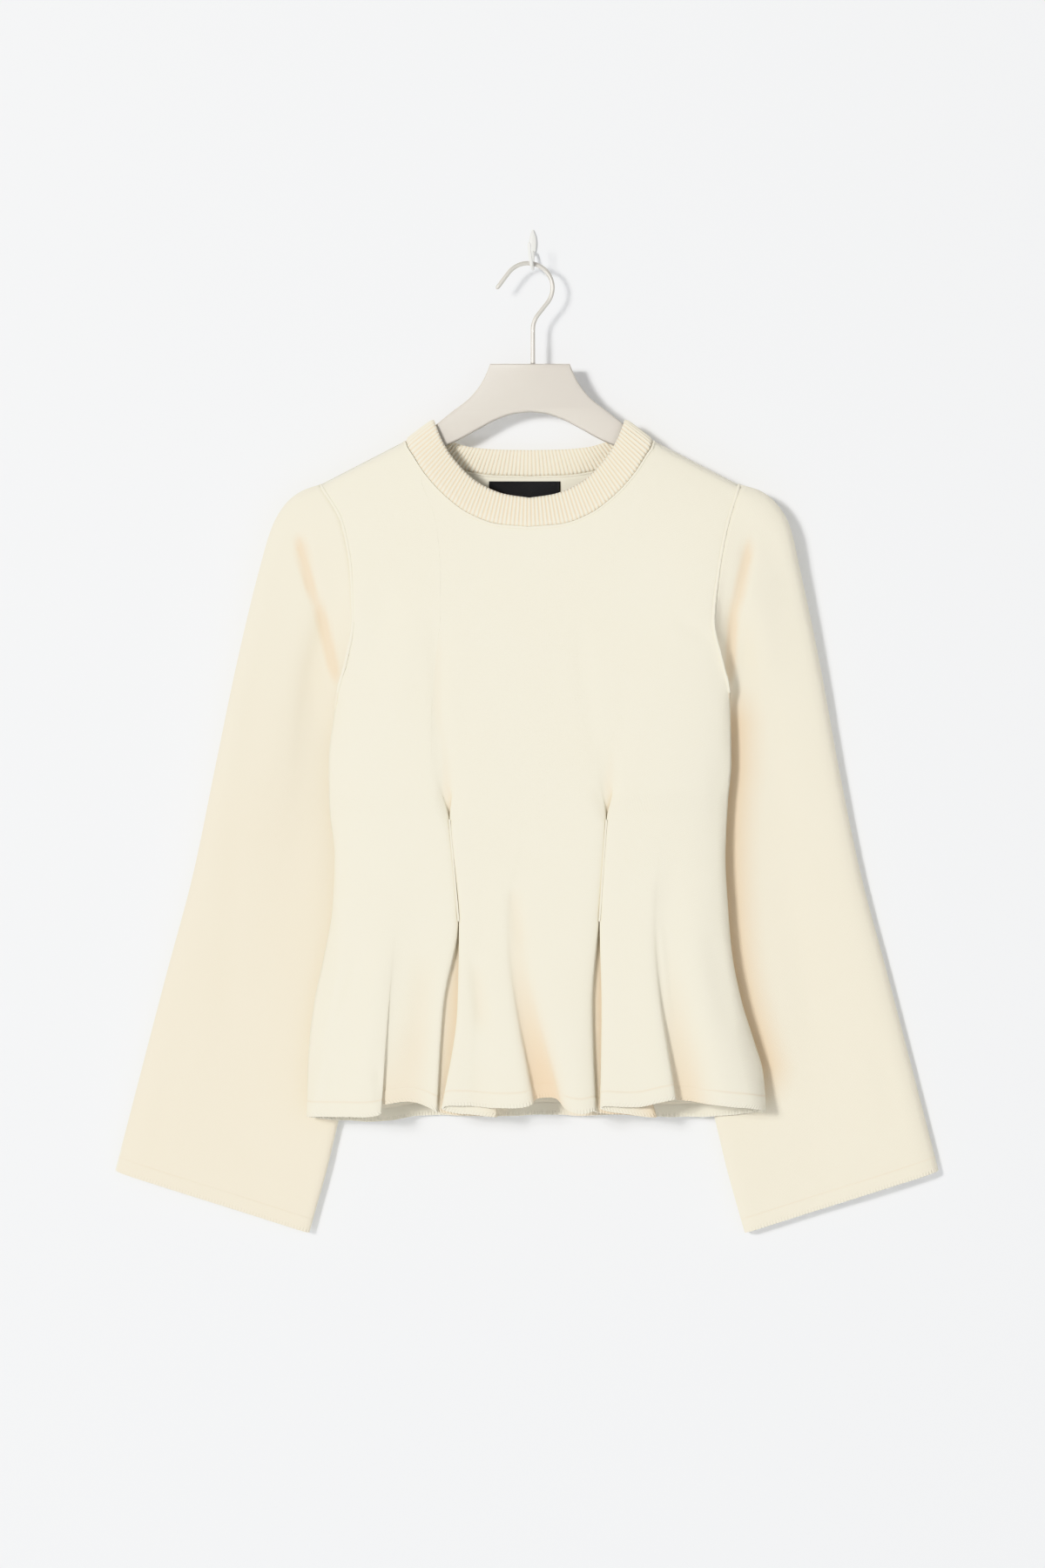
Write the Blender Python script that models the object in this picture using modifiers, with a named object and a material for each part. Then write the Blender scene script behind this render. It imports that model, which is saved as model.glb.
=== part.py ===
"""Knitted peplum top on a flat hanger, held by a small wall hook.

Lengths below are in millimetres. Across is +X, the wall is the plane Y = 0, up is +Z, and the
origin is the middle of the wall hook's back face. A depth is a distance in front of the wall,
so a point at depth d lies at Y = -d.
"""
import math

import bpy
import numpy as np

MM = 0.001

# Cloth
WALL = 1.8
SEAM_GAP = 1.0
NECK_GAP = 2.1
ARMHOLE_GAP = 1.6

# Where the shoulders lie over the hanger
NECK_MIDDLE_X = -3.0
NECK_POINT = 104.0
NECK_POINT_Z = -170.0
SHOULDER_SLOPE = 0.515
HANGER_DEPTH = 26.0
SHOULDER_ROUND = 8.0
SHOULDER_SETTLE = 30.0

# Levels of the body, from the hem up
HEM_Z = -735.0
WAIST_Z = -572.0
TUCK_TOP_Z = -486.0
DIMPLE_Z = -447.0
DIMPLE_SHARE = 0.4
PLEAT_WIDE_Z = -642.0
CHEST_Z = -385.0
PLAIN_Z = -320.0
UNDERARM_Z = -391.0
TOP_EDGE_PASSES = 24

# Outline of the body seen from the front: height, left edge, right edge
BODY_OUTLINE = (
    (-745.0, -189.0, 196.0),
    (-700.0, -188.5, 192.5),
    (-672.0, -187.0, 184.5),
    (-640.0, -183.0, 174.5),
    (-600.0, -174.5, 166.5),
    (-560.0, -167.5, 163.0),
    (-520.0, -165.5, 161.0),
    (-474.0, -170.5, 163.0),
    (-440.0, -171.0, 166.0),
    (-391.0, -165.0, 165.0),
    (-377.0, -162.5, 163.5),
    (-354.0, -156.0, 157.5),
    (-320.0, -150.0, 150.5),
    (-281.0, -151.5, 154.5),
    (-239.0, -159.0, 162.5),
    (-206.0, -178.0, 173.0),
)

# Depth of the front: height, at its middle, at its side edge
FRONT_DEPTHS = (
    (-745.0, 61.0, 30.0),
    (-640.0, 55.0, 29.0),
    (-572.0, 51.0, 28.0),
    (-486.0, 49.0, 27.5),
    (-392.0, 47.0, 27.5),
    (-377.0, 46.5, 32.0),
    (-354.0, 46.0, 38.0),
    (-320.0, 46.0, 41.0),
    (-281.0, 46.5, 42.0),
    (-200.0, 46.5, 41.0),
)

# Depth of the back: height, at its middle, at its side edge
BACK_DEPTHS = (
    (-745.0, 9.0, 28.0),
    (-640.0, 9.0, 27.0),
    (-572.0, 10.0, 26.0),
    (-486.0, 10.0, 25.5),
    (-392.0, 9.5, 25.5),
    (-377.0, 9.5, 21.0),
    (-354.0, 9.5, 14.0),
    (-320.0, 9.0, 11.5),
    (-281.0, 9.0, 11.0),
    (-200.0, 9.0, 11.5),
)

# Neck seam, half of the loop from the middle front over the shoulder to the middle back:
# distance from the neck's middle line, height
NECK_SEAM_FRONT = ((0.0, -243.0), (26.0, -240.8), (49.5, -232.6), (71.5, -216.5), (88.5, -197.5),
                   (98.0, -182.5), (102.6, -175.0), (104.0, -170.0))
NECK_SEAM_BACK = ((0.0, -198.0), (30.0, -197.2), (55.0, -193.5), (76.0, -187.0), (93.0, -179.5),
                  (102.0, -174.2), (104.0, -170.0))

# Top edge of the neckband, the same half loop: distance, depth, height
NECK_EDGE = (
    (0.0, 39.0, -218.0),
    (20.0, 38.8, -215.0),
    (43.0, 38.0, -205.0),
    (58.0, 37.0, -191.5),
    (70.0, 36.0, -175.5),
    (76.0, 35.6, -163.0),
    (79.0, 33.4, -155.0),
    (80.0, 26.0, -152.0),
    (79.0, 18.6, -155.0),
    (76.0, 16.4, -162.0),
    (66.0, 15.4, -168.5),
    (48.0, 14.4, -173.6),
    (25.0, 13.6, -175.4),
    (0.0, 13.4, -175.8),
)
NECKBAND_RIBS = 146
RIB_HEIGHT = 0.7
BAND_WALL = 1.8

# The six folds across one released pleat, from its open edge under and back to its top edge:
# share of the chest width from the pleat's line, then distance across from the line and depth
# behind the front, at the dimple, at the top of the stitching, at its foot, where the pleat is
# widest (there the distance counts in half widths of the pleat) and at the hem
PLEAT_FOLDS = (
    ("open edge", -0.034, -12.0, 1.2, -1.7, 0.4, -1.8, 0.4, -1.15, 1.5, -5.0, 3.0),
    ("open edge turned in", -0.018, -6.0, 2.8, -1.5, 7.0, -1.7, 9.5, -1.1, 11.5, -4.5, 13.0),
    ("far fold, back", -0.006, -2.0, 3.6, 8.0, 8.5, 14.0, 12.5, 5.4, 13.0, 47.0, 15.0),
    ("far fold, front", 0.006, 2.0, 3.6, 8.0, 4.8, 14.0, 6.5, 5.4, 6.5, 47.0, 7.5),
    ("top edge turned in", 0.018, 6.0, 2.8, 1.5, 4.2, 1.7, 5.5, 1.1, 6.0, 0.8, 6.0),
    ("top edge", 0.034, 12.0, 1.2, 1.7, 0.4, 1.8, 0.4, 1.1, -0.5, 0.5, -1.5),
)
PLEAT_HEM_Z = (-729.0, -732.0, -735.0, -735.0, -730.0, -724.0)
HEM_FLARE = 4.0

# The line of each pleat: at the chest, at the top of the stitching, at its foot, where it is
# widest and at the hem; then half of its width there
PLEAT_LINES = {
    "left": (-74.0, -69.8, -62.0, -69.5, -77.0, 5.4),
    "right": (65.0, 61.5, 55.5, 54.3, 56.0, 3.8),
}

# Soft folds of the front between the pleats and the side seams: share of the chest width,
# then across and depth at the waist and at the hem, and the height of the hem there
LEFT_FOLDS = (
    ("side seam", 0.0, None, None, None, None, -735.0),
    ("side turn", 0.012, -167.0, 36.0, -190.0, 38.0, -735.0),
    ("flank", 0.05, -157.0, 43.5, -182.0, 48.0, -735.0),
    ("flank crease", 0.10, -145.0, 46.5, -169.0, 47.0, -735.0),
    ("left ridge", 0.145, -128.0, 50.0, -150.0, 63.0, -735.0),
    ("small fold, top", 0.18, -118.0, 50.5, -123.0, 64.0, -733.0),
    ("small fold, under", 0.195, -112.0, 50.0, -135.0, 56.0, -727.0),
    ("left hollow", 0.22, -102.0, 49.0, -113.0, 53.0, -722.0),
    ("left hollow end", 0.245, -84.0, 49.5, -96.0, 54.5, -723.0),
)
CENTRE_FOLDS = (
    ("short crease, left", 0.355, -50.0, 51.0, -58.0, 64.5, -724.5),
    ("short crease", 0.395, -43.0, 50.5, -44.0, 61.5, -726.0),
    ("middle ridge, left", 0.435, -34.0, 51.5, -22.0, 67.0, -727.0),
    ("middle hollow, left edge", 0.475, -24.0, 51.5, 2.0, 66.0, -725.0),
    ("middle hollow, left floor", 0.495, -19.0, 49.5, 2.0, 52.0, -720.0),
    ("middle hollow, right floor", 0.52, -11.0, 49.5, 25.0, 51.5, -718.0),
    ("middle hollow, right edge", 0.545, -3.0, 51.5, 28.0, 64.0, -729.0),
    ("middle ridge, right", 0.595, 22.0, 52.0, 41.0, 66.0, -732.0),
)
RIGHT_FOLDS = (
    ("right front", 0.755, 76.0, 51.5, 82.0, 66.0, -727.0),
    ("right ridge", 0.80, 91.0, 52.0, 110.0, 69.0, -721.0),
    ("right fold edge", 0.83, 99.0, 51.5, 122.0, 66.0, -719.0),
    ("right hollow, left floor", 0.845, 103.0, 48.5, 117.0, 51.0, -721.0),
    ("right hollow, right floor", 0.875, 113.0, 47.0, 137.0, 49.0, -722.5),
    ("right flank", 0.915, 131.0, 48.5, 156.0, 61.0, -725.0),
    ("right flank, outer", 0.955, 148.0, 44.5, 182.0, 56.0, -728.0),
    ("side turn", 0.988, 162.0, 36.0, 196.5, 41.0, -731.0),
    ("side seam", 1.0, None, None, None, None, -731.0),
)

# Spans between the front's controls that turn tightly and so have a point at their middle too
TIGHT_SPANS = {5, 6, *range(9, 15), 18, 19, 20, 21, *range(23, 29), 31, 32}

# Soft folds of the back: share of the width, depth at the waist and at the hem, hem height
BACK_FOLDS = (
    ("side seam", 0.0, None, None, -737.0),
    ("side turn", 0.015, 20.0, 20.5, -738.0),
    ("left flank", 0.07, 17.0, 18.0, -741.0),
    ("left wave", 0.16, 12.0, 19.5, -742.0),
    ("left hollow", 0.24, 8.5, 8.0, -737.5),
    ("left tuck", 0.30, 9.5, 6.5, -736.5),
    ("left middle wave", 0.38, 10.5, 17.5, -738.0),
    ("middle hollow", 0.50, 9.5, 7.0, -736.5),
    ("right middle wave", 0.61, 10.5, 18.0, -737.0),
    ("right tuck", 0.70, 9.5, 6.5, -736.0),
    ("right hollow", 0.77, 8.5, 8.0, -738.5),
    ("right wave", 0.85, 12.0, 19.0, -738.0),
    ("right flank", 0.93, 17.0, 18.5, -736.0),
    ("side turn", 0.985, 20.0, 20.5, -734.0),
    ("side seam", 1.0, None, None, -733.0),
)

# Rows of the body cloth: heights up to the chest, then shares of the way up to its top edge
LOWER_ROWS = (-735.0, -722.0, -704.0, -682.0, -658.0, -634.0, -612.0, -592.0, -572.0, -550.0,
              -518.0, -490.0, -478.0, -466.0, -452.0, -430.0, -400.0)
BACK_LOWER_ROWS = (-735.0, -715.0, -685.0, -650.0, -612.0, -572.0, -520.0, -460.0, -400.0)
LEVEL_ABOVE = 150.0
UPPER_SHARES = (0.11, 0.21, 0.31, 0.42, 0.54, 0.67, 0.80, 0.90, 0.955, 0.985, 1.0)

# Rings of a sleeve, shoulder side to cuff, on the left; the right sleeve mirrors them.
# Outer edge x and z, inner edge x and z, bow towards the body, then the depths of the outer
# edge, the front's outer part, its trough, its inner part, the inner edge and the back
SLEEVE_RINGS = (
    (-192.0, -211.0, -171.5, -397.0, 16.0, 26.0, 38.0, 40.5, 30.0, 21.0, 12.0),
    (-206.0, -221.0, -172.5, -409.0, 11.0, 26.0, 36.5, 38.0, 22.0, 15.0, 8.5),
    (-218.0, -240.0, -170.0, -427.0, 7.0, 24.0, 34.0, 34.0, 16.0, 10.0, 5.5),
    (-229.0, -275.0, -163.0, -462.0, 2.0, 20.0, 30.0, 28.5, 14.0, 7.0, 4.0),
    (-248.0, -352.0, -157.0, -518.0, 0.0, 15.0, 25.5, 21.5, 13.0, 6.5, 3.6),
    (-267.0, -442.0, -154.0, -575.0, 0.0, 12.0, 22.5, 17.5, 13.0, 6.5, 3.6),
    (-285.5, -531.0, -153.0, -635.0, 0.0, 10.0, 20.5, 15.5, 13.0, 6.5, 3.6),
    (-309.0, -619.0, -157.0, -700.0, 0.0, 9.0, 19.0, 14.5, 13.5, 6.5, 3.6),
    (-332.0, -707.0, -171.0, -770.0, 0.0, 8.5, 18.5, 15.5, 14.5, 7.0, 3.6),
    (-352.0, -784.0, -189.0, -836.0, 0.0, 8.0, 17.0, 17.0, 15.0, 8.0, 3.6),
)
# Where the controls of a ring lie between its outer and inner edges, and the depth they take
RING_FRONT = ((0.0, "outer"), (0.02, "front"), (0.2, "front"), (0.42, "trough"), (0.6, "inner"),
              (0.88, "inner"), (0.985, "inner"), (1.0, "edge"))
RING_BACK = ((0.985, "back"), (0.85, "back"), (0.5, "back"), (0.15, "back"), (0.02, "back"))
UNDERARM_LIFT = 9.0
UNDERARM_OPEN = 5.0
SLEEVE_MIDDLE_X = (-1.5, -5.0)
SLEEVE_DRIFT_RINGS = (2, 5)
SLEEVE_AROUND = 28
SLEEVE_ROWS = 17

# Hanger: half of its outline, top then underside, distance from the middle and height
HANGER_TOP = ((0.0, -104.5), (33.6, -104.5), (36.2, -111.5), (41.0, -121.0), (51.0, -133.4),
              (65.7, -144.9), (82.0, -158.2), (104.0, -177.5), (140.0, -195.0), (175.0, -213.0),
              (192.0, -222.5), (200.0, -231.0))
HANGER_UNDERSIDE = ((200.0, -240.0), (192.0, -243.0), (150.0, -223.0), (104.0, -197.0),
                    (73.0, -174.5), (58.0, -167.4), (42.0, -158.6), (27.0, -150.8),
                    (12.4, -146.2), (0.0, -144.8))
HANGER_MIDDLE_X = -2.5
HANGER_THICK = 9.0
HANGER_EDGE = 2.0

# Hanger hook: a round wire in the plane of the hanger
HOOK_WIRE = 4.0
HOOK_MIDDLE = (-4.1, -40.4)
HOOK_RADIUS = 20.6
HOOK_TIP_ANGLE = 143.0
HOOK_FOOT_ANGLE = -38.0
HOOK_TIP_LENGTH = 17.0
HOOK_BEND_RADIUS = 20.0

# Wall hook: a leaf-shaped plate and a prong that the hanger hangs on
PLATE_TOP_Z = 12.0
PLATE_BOTTOM_Z = -12.0
PLATE_HALF_WIDTH = 3.2
PLATE_THICK = 3.0
PRONG_WIRE = 3.0
HOOK_SEAT_GAP = 0.8

# Label inside the back neck
LABEL_SIZE = (60.0, 18.0)
LABEL_TOP_Z = -202.0
LABEL_MIDDLE_X = -7.0
LABEL_THICK = 0.8
LABEL_GAP = 0.35

COLOURS = {
    "knit": (0.89, 0.85, 0.73),
    "rib": (0.90, 0.86, 0.74),
    "label": (0.02, 0.02, 0.022),
    "hanger": (0.75, 0.70, 0.64),
    "wire": (0.78, 0.75, 0.69),
    "wall hook": (0.84, 0.84, 0.81),
}


def ease_through(stations, values, at):
    """Smooth curve through rising stations that never swings past a value (monotone cubic)."""
    stations = np.asarray(stations, float)
    values = np.asarray(values, float)
    at = np.clip(np.asarray(at, float), stations[0], stations[-1])
    steps = np.diff(stations)
    slopes = np.diff(values) / steps
    tangents = np.empty_like(values)
    tangents[0], tangents[-1] = slopes[0], slopes[-1]
    product = slopes[:-1] * slopes[1:]
    total = np.where(product > 0, slopes[:-1] + slopes[1:], 1.0)
    tangents[1:-1] = np.where(product > 0, 2.0 * product / total, 0.0)
    place = np.clip(np.searchsorted(stations, at, side="right") - 1, 0, len(steps) - 1)
    step = steps[place]
    t = (at - stations[place]) / step
    rise = 3 * t ** 2 - 2 * t ** 3
    return (values[place] * (1 - rise) + values[place + 1] * rise
            + step * (tangents[place] * (t ** 3 - 2 * t ** 2 + t)
                      + tangents[place + 1] * (t ** 3 - t ** 2)))


def column(table, index):
    """One column of a table, as an array."""
    return np.array([row[index] for row in table], float)


def curve_weights(controls, places):
    """Weights of each control of a quadratic B-spline with clamped ends, at the given places."""
    spans = controls - 2
    knots = np.concatenate([[0.0, 0.0], np.arange(spans + 1), [spans, spans]])
    places = np.clip(np.asarray(places, float), 0.0, spans - 1e-9)[:, None]
    weights = ((places >= knots[:-1]) & (places < knots[1:])).astype(float)
    for degree in (1, 2):
        width = knots[degree:-1] - knots[:-1 - degree]
        right_width = knots[degree + 1:] - knots[1:-degree]
        rising = (places - knots[:-1 - degree]) / np.where(width > 0, width, 1.0)
        falling = (knots[degree + 1:] - places) / np.where(right_width > 0, right_width, 1.0)
        weights = (np.where(width > 0, rising, 0.0) * weights[:, :-1]
                   + np.where(right_width > 0, falling, 0.0) * weights[:, 1:])
    return weights


def body_edges(z):
    """Left and right edge of the body at a height."""
    heights = column(BODY_OUTLINE, 0)
    left = ease_through(heights, column(BODY_OUTLINE, 1), z)
    right = ease_through(heights, column(BODY_OUTLINE, 2), z)
    return left, right


def across_body(share, z):
    """Place across the body, from its left edge at share 0 to its right edge at share 1."""
    left, right = body_edges(z)
    return left + (right - left) * share


def shoulder_z(x):
    """Height of the shoulder line over the hanger."""
    return NECK_POINT_Z - SHOULDER_SLOPE * (np.abs(x - NECK_MIDDLE_X) - NECK_POINT)


def over_hanger(x, z):
    """How far the cloth has come round the hanger's top, and how far it has hung out below."""
    drop = np.maximum(shoulder_z(x) - z, 0.0)
    near = np.clip(drop / SHOULDER_ROUND, 0.0, 1.0)
    return np.sqrt(1.0 - (1.0 - near) ** 2), 1.0 - np.exp(-drop / SHOULDER_SETTLE)


def front_depth(share, x, z):
    """Depth of the plain front: flat in the middle, round at its sides and over the hanger."""
    heights = column(FRONT_DEPTHS, 0)
    middle = ease_through(heights, column(FRONT_DEPTHS, 1), z)
    side = ease_through(heights, column(FRONT_DEPTHS, 2), z)
    flat = np.sqrt(np.maximum(1.0 - np.abs(2.0 * share - 1.0) ** 4, 0.0))
    full = side + (middle - side) * flat
    round_top, settled = over_hanger(x, z)
    start = HANGER_DEPTH + SEAM_GAP / 2
    hung = start + SHOULDER_ROUND * round_top + (full - start - SHOULDER_ROUND) * settled
    return np.where(z > UNDERARM_Z, hung, full)


def back_depth(share, x, z):
    """Depth of the plain back, which lies near the wall and comes forward at its sides."""
    heights = column(BACK_DEPTHS, 0)
    middle = ease_through(heights, column(BACK_DEPTHS, 1), z)
    side = ease_through(heights, column(BACK_DEPTHS, 2), z)
    flat = np.sqrt(np.maximum(1.0 - np.abs(2.0 * share - 1.0) ** 2.5, 0.0))
    full = side + (middle - side) * flat
    round_top, settled = over_hanger(x, z)
    start = HANGER_DEPTH - SEAM_GAP / 2
    hung = start - SHOULDER_ROUND * round_top - (start - SHOULDER_ROUND - full) * settled
    return np.where(z > UNDERARM_Z, hung, full)


def panel_top_z(x, seam):
    """Top edge of a body panel: the shoulder line, and under the neckband its seam."""
    distance = np.abs(x - NECK_MIDDLE_X)
    seam_x, seam_z = column(seam, 0), column(seam, 1)
    inside = np.minimum(distance, NECK_POINT)
    slope = (ease_through(seam_x, seam_z, inside + 0.5)
             - ease_through(seam_x, seam_z, inside - 0.5))
    clear = NECK_GAP * np.sqrt(1.0 + slope ** 2)
    neck = ease_through(seam_x, seam_z, inside) - clear
    return np.where(distance < NECK_POINT, np.minimum(neck, shoulder_z(x)), shoulder_z(x))


def panel_top(shares, seam):
    """Height of a panel's top edge at each share, settled where the share's column meets it."""
    top_z = np.full(len(shares), NECK_POINT_Z)
    for _ in range(TOP_EDGE_PASSES):
        top_z = (top_z + panel_top_z(across_body(shares, top_z), seam)) / 2
    return top_z


def pleat_controls(side):
    """Controls of one pleat: share, then across and depth at each level, and the hem's height."""
    chest_x, top_x, foot_x, wide_x, hem_x, half_width = PLEAT_LINES[side]
    left, right = body_edges(CHEST_Z)
    line_share = (chest_x - left) / (right - left)
    levels = ((DIMPLE_Z, chest_x + (top_x - chest_x) * DIMPLE_SHARE), (TUCK_TOP_Z, top_x),
              (WAIST_Z, foot_x), (PLEAT_WIDE_Z, wide_x), (HEM_Z, hem_x))
    controls = []
    for (_, share, *offsets), hem_z in zip(PLEAT_FOLDS, PLEAT_HEM_Z):
        places = []
        for (z, line), offset, behind in zip(levels, offsets[0::2], offsets[1::2]):
            depth = float(ease_through(column(FRONT_DEPTHS, 0), column(FRONT_DEPTHS, 1), z))
            if z == HEM_Z:
                depth += HEM_FLARE
            if z == PLEAT_WIDE_Z:
                offset *= half_width
            places.append((z, line + offset, depth - behind))
        controls.append((line_share + share, places[::-1], hem_z))
    return controls


def soft_controls(table):
    """Controls of soft folds: share, then across and depth at the waist and the hem."""
    controls = []
    for _, share, waist_x, waist_depth, hem_x, hem_depth, hem_z in table:
        places = []
        if waist_x is not None:
            places = [(HEM_Z, hem_x, hem_depth), (WAIST_Z, waist_x, waist_depth)]
        controls.append((share, places, hem_z))
    return controls


def front_controls():
    """All controls across the front, from the left side seam to the right one."""
    return (soft_controls(LEFT_FOLDS) + pleat_controls("left") + soft_controls(CENTRE_FOLDS)
            + pleat_controls("right") + soft_controls(RIGHT_FOLDS))


def control_path(share, places, z):
    """Across and depth of one control at the heights z, its folds fading into the plain chest."""
    plain_x = across_body(share, z)
    plain_depth = front_depth(share, plain_x, z)
    if not places:
        return plain_x, plain_depth
    stations = list(places)
    for height in (CHEST_Z, PLAIN_Z):
        if len(places) == 2 and height == CHEST_Z:
            height_x = across_body(share, TUCK_TOP_Z)
            stations.append((TUCK_TOP_Z, height_x,
                             float(front_depth(share, height_x, TUCK_TOP_Z))))
        height_x = across_body(share, height)
        stations.append((height, height_x, float(front_depth(share, height_x, height))))
    heights, xs, depths = (np.array(values, float) for values in zip(*stations))
    folded = z < PLAIN_Z
    return (np.where(folded, ease_through(heights, xs, z), plain_x),
            np.where(folded, ease_through(heights, depths, z), plain_depth))


def row_heights(lower, hem_z, top_z):
    """Heights of a panel's rows: level up to the chest, then shared out up to its top edge."""
    lower = np.array(lower)[:, None]
    first, last = lower[0], lower[-1]
    level = last - LEVEL_ABOVE
    sink = np.clip((level - lower) / (level - first), 0.0, 1.0) ** 2
    low = lower + (hem_z - first) * sink
    high = last + (top_z - last) * np.array(UPPER_SHARES)[:, None]
    return np.vstack([low, high])


def front_grid():
    """Middle surface of the front as a grid of points, rows from the hem up."""
    controls = front_controls()
    places = [0.0]
    for span in range(len(controls) - 2):
        places += [span + 0.5, span + 1.0] if span + 1 in TIGHT_SPANS else [span + 1.0]
    weights = curve_weights(len(controls), places)
    shares = weights @ np.array([share for share, _, _ in controls])
    hem_z = weights @ np.array([hem for _, _, hem in controls])
    top_z = panel_top(shares, NECK_SEAM_FRONT)
    z = row_heights(LOWER_ROWS, hem_z, top_z)
    x, depth = np.zeros_like(z), np.zeros_like(z)
    for number, (share, path, _) in enumerate(controls):
        control_x, control_depth = control_path(share, path, z)
        x += weights[:, number] * control_x
        depth += weights[:, number] * control_depth
    upper = z > PLAIN_Z
    plain_x = across_body(shares, z)
    x = np.where(upper, plain_x, x)
    depth = np.where(upper, front_depth(shares, plain_x, z), depth)
    return np.stack([x, -depth, z], axis=-1)


def back_grid():
    """Middle surface of the back as a grid of points, rows from the hem up."""
    spans = len(BACK_FOLDS) - 2
    places = np.linspace(0.0, spans, 2 * spans + 1)
    weights = curve_weights(len(BACK_FOLDS), places)
    shares = weights @ column(BACK_FOLDS, 1)
    hem_z = weights @ column(BACK_FOLDS, 4)
    top_z = panel_top(shares, NECK_SEAM_BACK)
    z = row_heights(BACK_LOWER_ROWS, hem_z, top_z)
    x = across_body(shares, z)
    plain = back_depth(shares, x, z)
    depth = np.zeros_like(z)
    for number, (_, share, waist_depth, hem_depth, _) in enumerate(BACK_FOLDS):
        chest = back_depth(share, across_body(share, CHEST_Z), np.array(CHEST_Z))
        if waist_depth is None:
            path = back_depth(share, across_body(share, z), z)
        else:
            path = ease_through((HEM_Z, WAIST_Z, CHEST_Z), (hem_depth, waist_depth, chest), z)
        depth += weights[:, number] * path
    depth = np.where(z > CHEST_Z, plain, depth)
    return np.stack([x, -depth, z], axis=-1)


def sleeve_ring(row):
    """Share from outer to inner edge and depth of the samples round one ring of the sleeve."""
    outer_x, outer_z, inner_x, inner_z, bow, outer, front, trough, inner, edge, back = row
    depths = {"outer": outer, "front": front, "trough": trough, "inner": inner, "edge": edge,
              "back": back}
    controls = [(share, depths[kind]) for share, kind in RING_FRONT + RING_BACK]
    controls.append(controls[0])
    weights = curve_weights(len(controls), np.linspace(0, len(controls) - 2, SLEEVE_AROUND + 1))
    shares, depth = (weights @ np.array(controls)).T
    run = np.array([inner_x - outer_x, inner_z - outer_z])
    square = np.array([-run[1], run[0]]) / np.linalg.norm(run)
    bowed = 4.0 * bow * shares * (1.0 - shares)
    x = outer_x + run[0] * shares + square[0] * bowed
    z = outer_z + run[1] * shares + square[1] * bowed
    return shares[:-1], np.stack([x, -depth, z], axis=-1)[:-1]


def armhole_ring(shares, mirror):
    """Ring of the sleeve at the armhole, just outside the edges of the front and the back."""
    top_z = float(shoulder_z(body_edges(BODY_OUTLINE[-1][0])[0]))
    z = top_z + (UNDERARM_Z + UNDERARM_LIFT - top_z) * shares
    left, right = body_edges(z)
    x = (right if mirror else left) + (ARMHOLE_GAP if mirror else -ARMHOLE_GAP)
    edge_share = 1.0 if mirror else 0.0
    front = np.maximum(front_depth(edge_share, x, z), HANGER_DEPTH + UNDERARM_OPEN)
    back = np.minimum(back_depth(edge_share, x, z), HANGER_DEPTH - UNDERARM_OPEN)
    inner_edge = (len(RING_FRONT) - 1.5) / (len(RING_FRONT) + len(RING_BACK) - 1) * len(shares)
    order = np.arange(len(shares))
    depth = np.where(order < inner_edge, front, back)
    depth[[0, round(inner_edge)]] = HANGER_DEPTH
    return np.stack([x, -depth, z], axis=-1)


def sleeve_grid(mirror):
    """Middle surface of a sleeve: rings from the armhole to the cuff, closed round."""
    rings = []
    for number, row in enumerate(SLEEVE_RINGS):
        shares, ring = sleeve_ring(row)
        if mirror:
            middle = np.interp(number, SLEEVE_DRIFT_RINGS, SLEEVE_MIDDLE_X)
            ring[:, 0] = 2.0 * middle - ring[:, 0]
        rings.append(ring)
    rings.insert(0, armhole_ring(shares, mirror))
    rings = np.array(rings)
    middles = rings.mean(axis=1)
    along = np.concatenate([[0.0], np.cumsum(np.linalg.norm(np.diff(middles, axis=0), axis=1))])
    wanted = np.concatenate([along[:4], np.linspace(along[4], along[-1], SLEEVE_ROWS - 4)])
    grid = np.empty((len(wanted), SLEEVE_AROUND, 3))
    for place in range(SLEEVE_AROUND):
        for axis in range(3):
            grid[:, place, axis] = ease_through(along, rings[:, place, axis], wanted)
    return grid


def half_loop(points, count):
    """Smooth run through points, sampled evenly by its length."""
    points = np.array(points, float)
    steps = np.linalg.norm(np.diff(points, axis=0), axis=1)
    along = np.concatenate([[0.0], np.cumsum(steps)])
    wanted = np.linspace(0.0, along[-1], count)
    return np.stack([ease_through(along, points[:, axis], wanted) for axis in range(3)], axis=-1)


def whole_loop(half):
    """Both halves of the neck, from the middle front round by the left."""
    left = half * (-1.0, 1.0, 1.0)
    right = half[-2:0:-1]
    loop = np.vstack([left, right])
    loop[:, 0] += NECK_MIDDLE_X
    return loop


def neck_loops():
    """Seam and top edge of the neckband as two loops of matching points, two for each rib."""
    seam = []
    for distance, z in NECK_SEAM_FRONT:
        x = NECK_MIDDLE_X + distance
        seam.append((distance, -float(front_depth(0.5, x, np.array(z))), z))
    seam[-1] = (NECK_POINT, -HANGER_DEPTH, NECK_POINT_Z)
    for distance, z in NECK_SEAM_BACK[-2::-1]:
        x = NECK_MIDDLE_X + distance
        seam.append((distance, -float(back_depth(0.5, x, np.array(z))), z))
    edge = [(distance, -depth, z) for distance, depth, z in NECK_EDGE]
    count = NECKBAND_RIBS + 1
    return whole_loop(half_loop(seam, count)), whole_loop(half_loop(edge, count))


def loop_normals(low, high):
    """Outward directions of the band between two loops."""
    along = np.roll(low, -1, axis=0) - np.roll(low, 1, axis=0)
    normals = np.cross(high - low, along)
    return normals / np.linalg.norm(normals, axis=1)[:, None]


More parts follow.
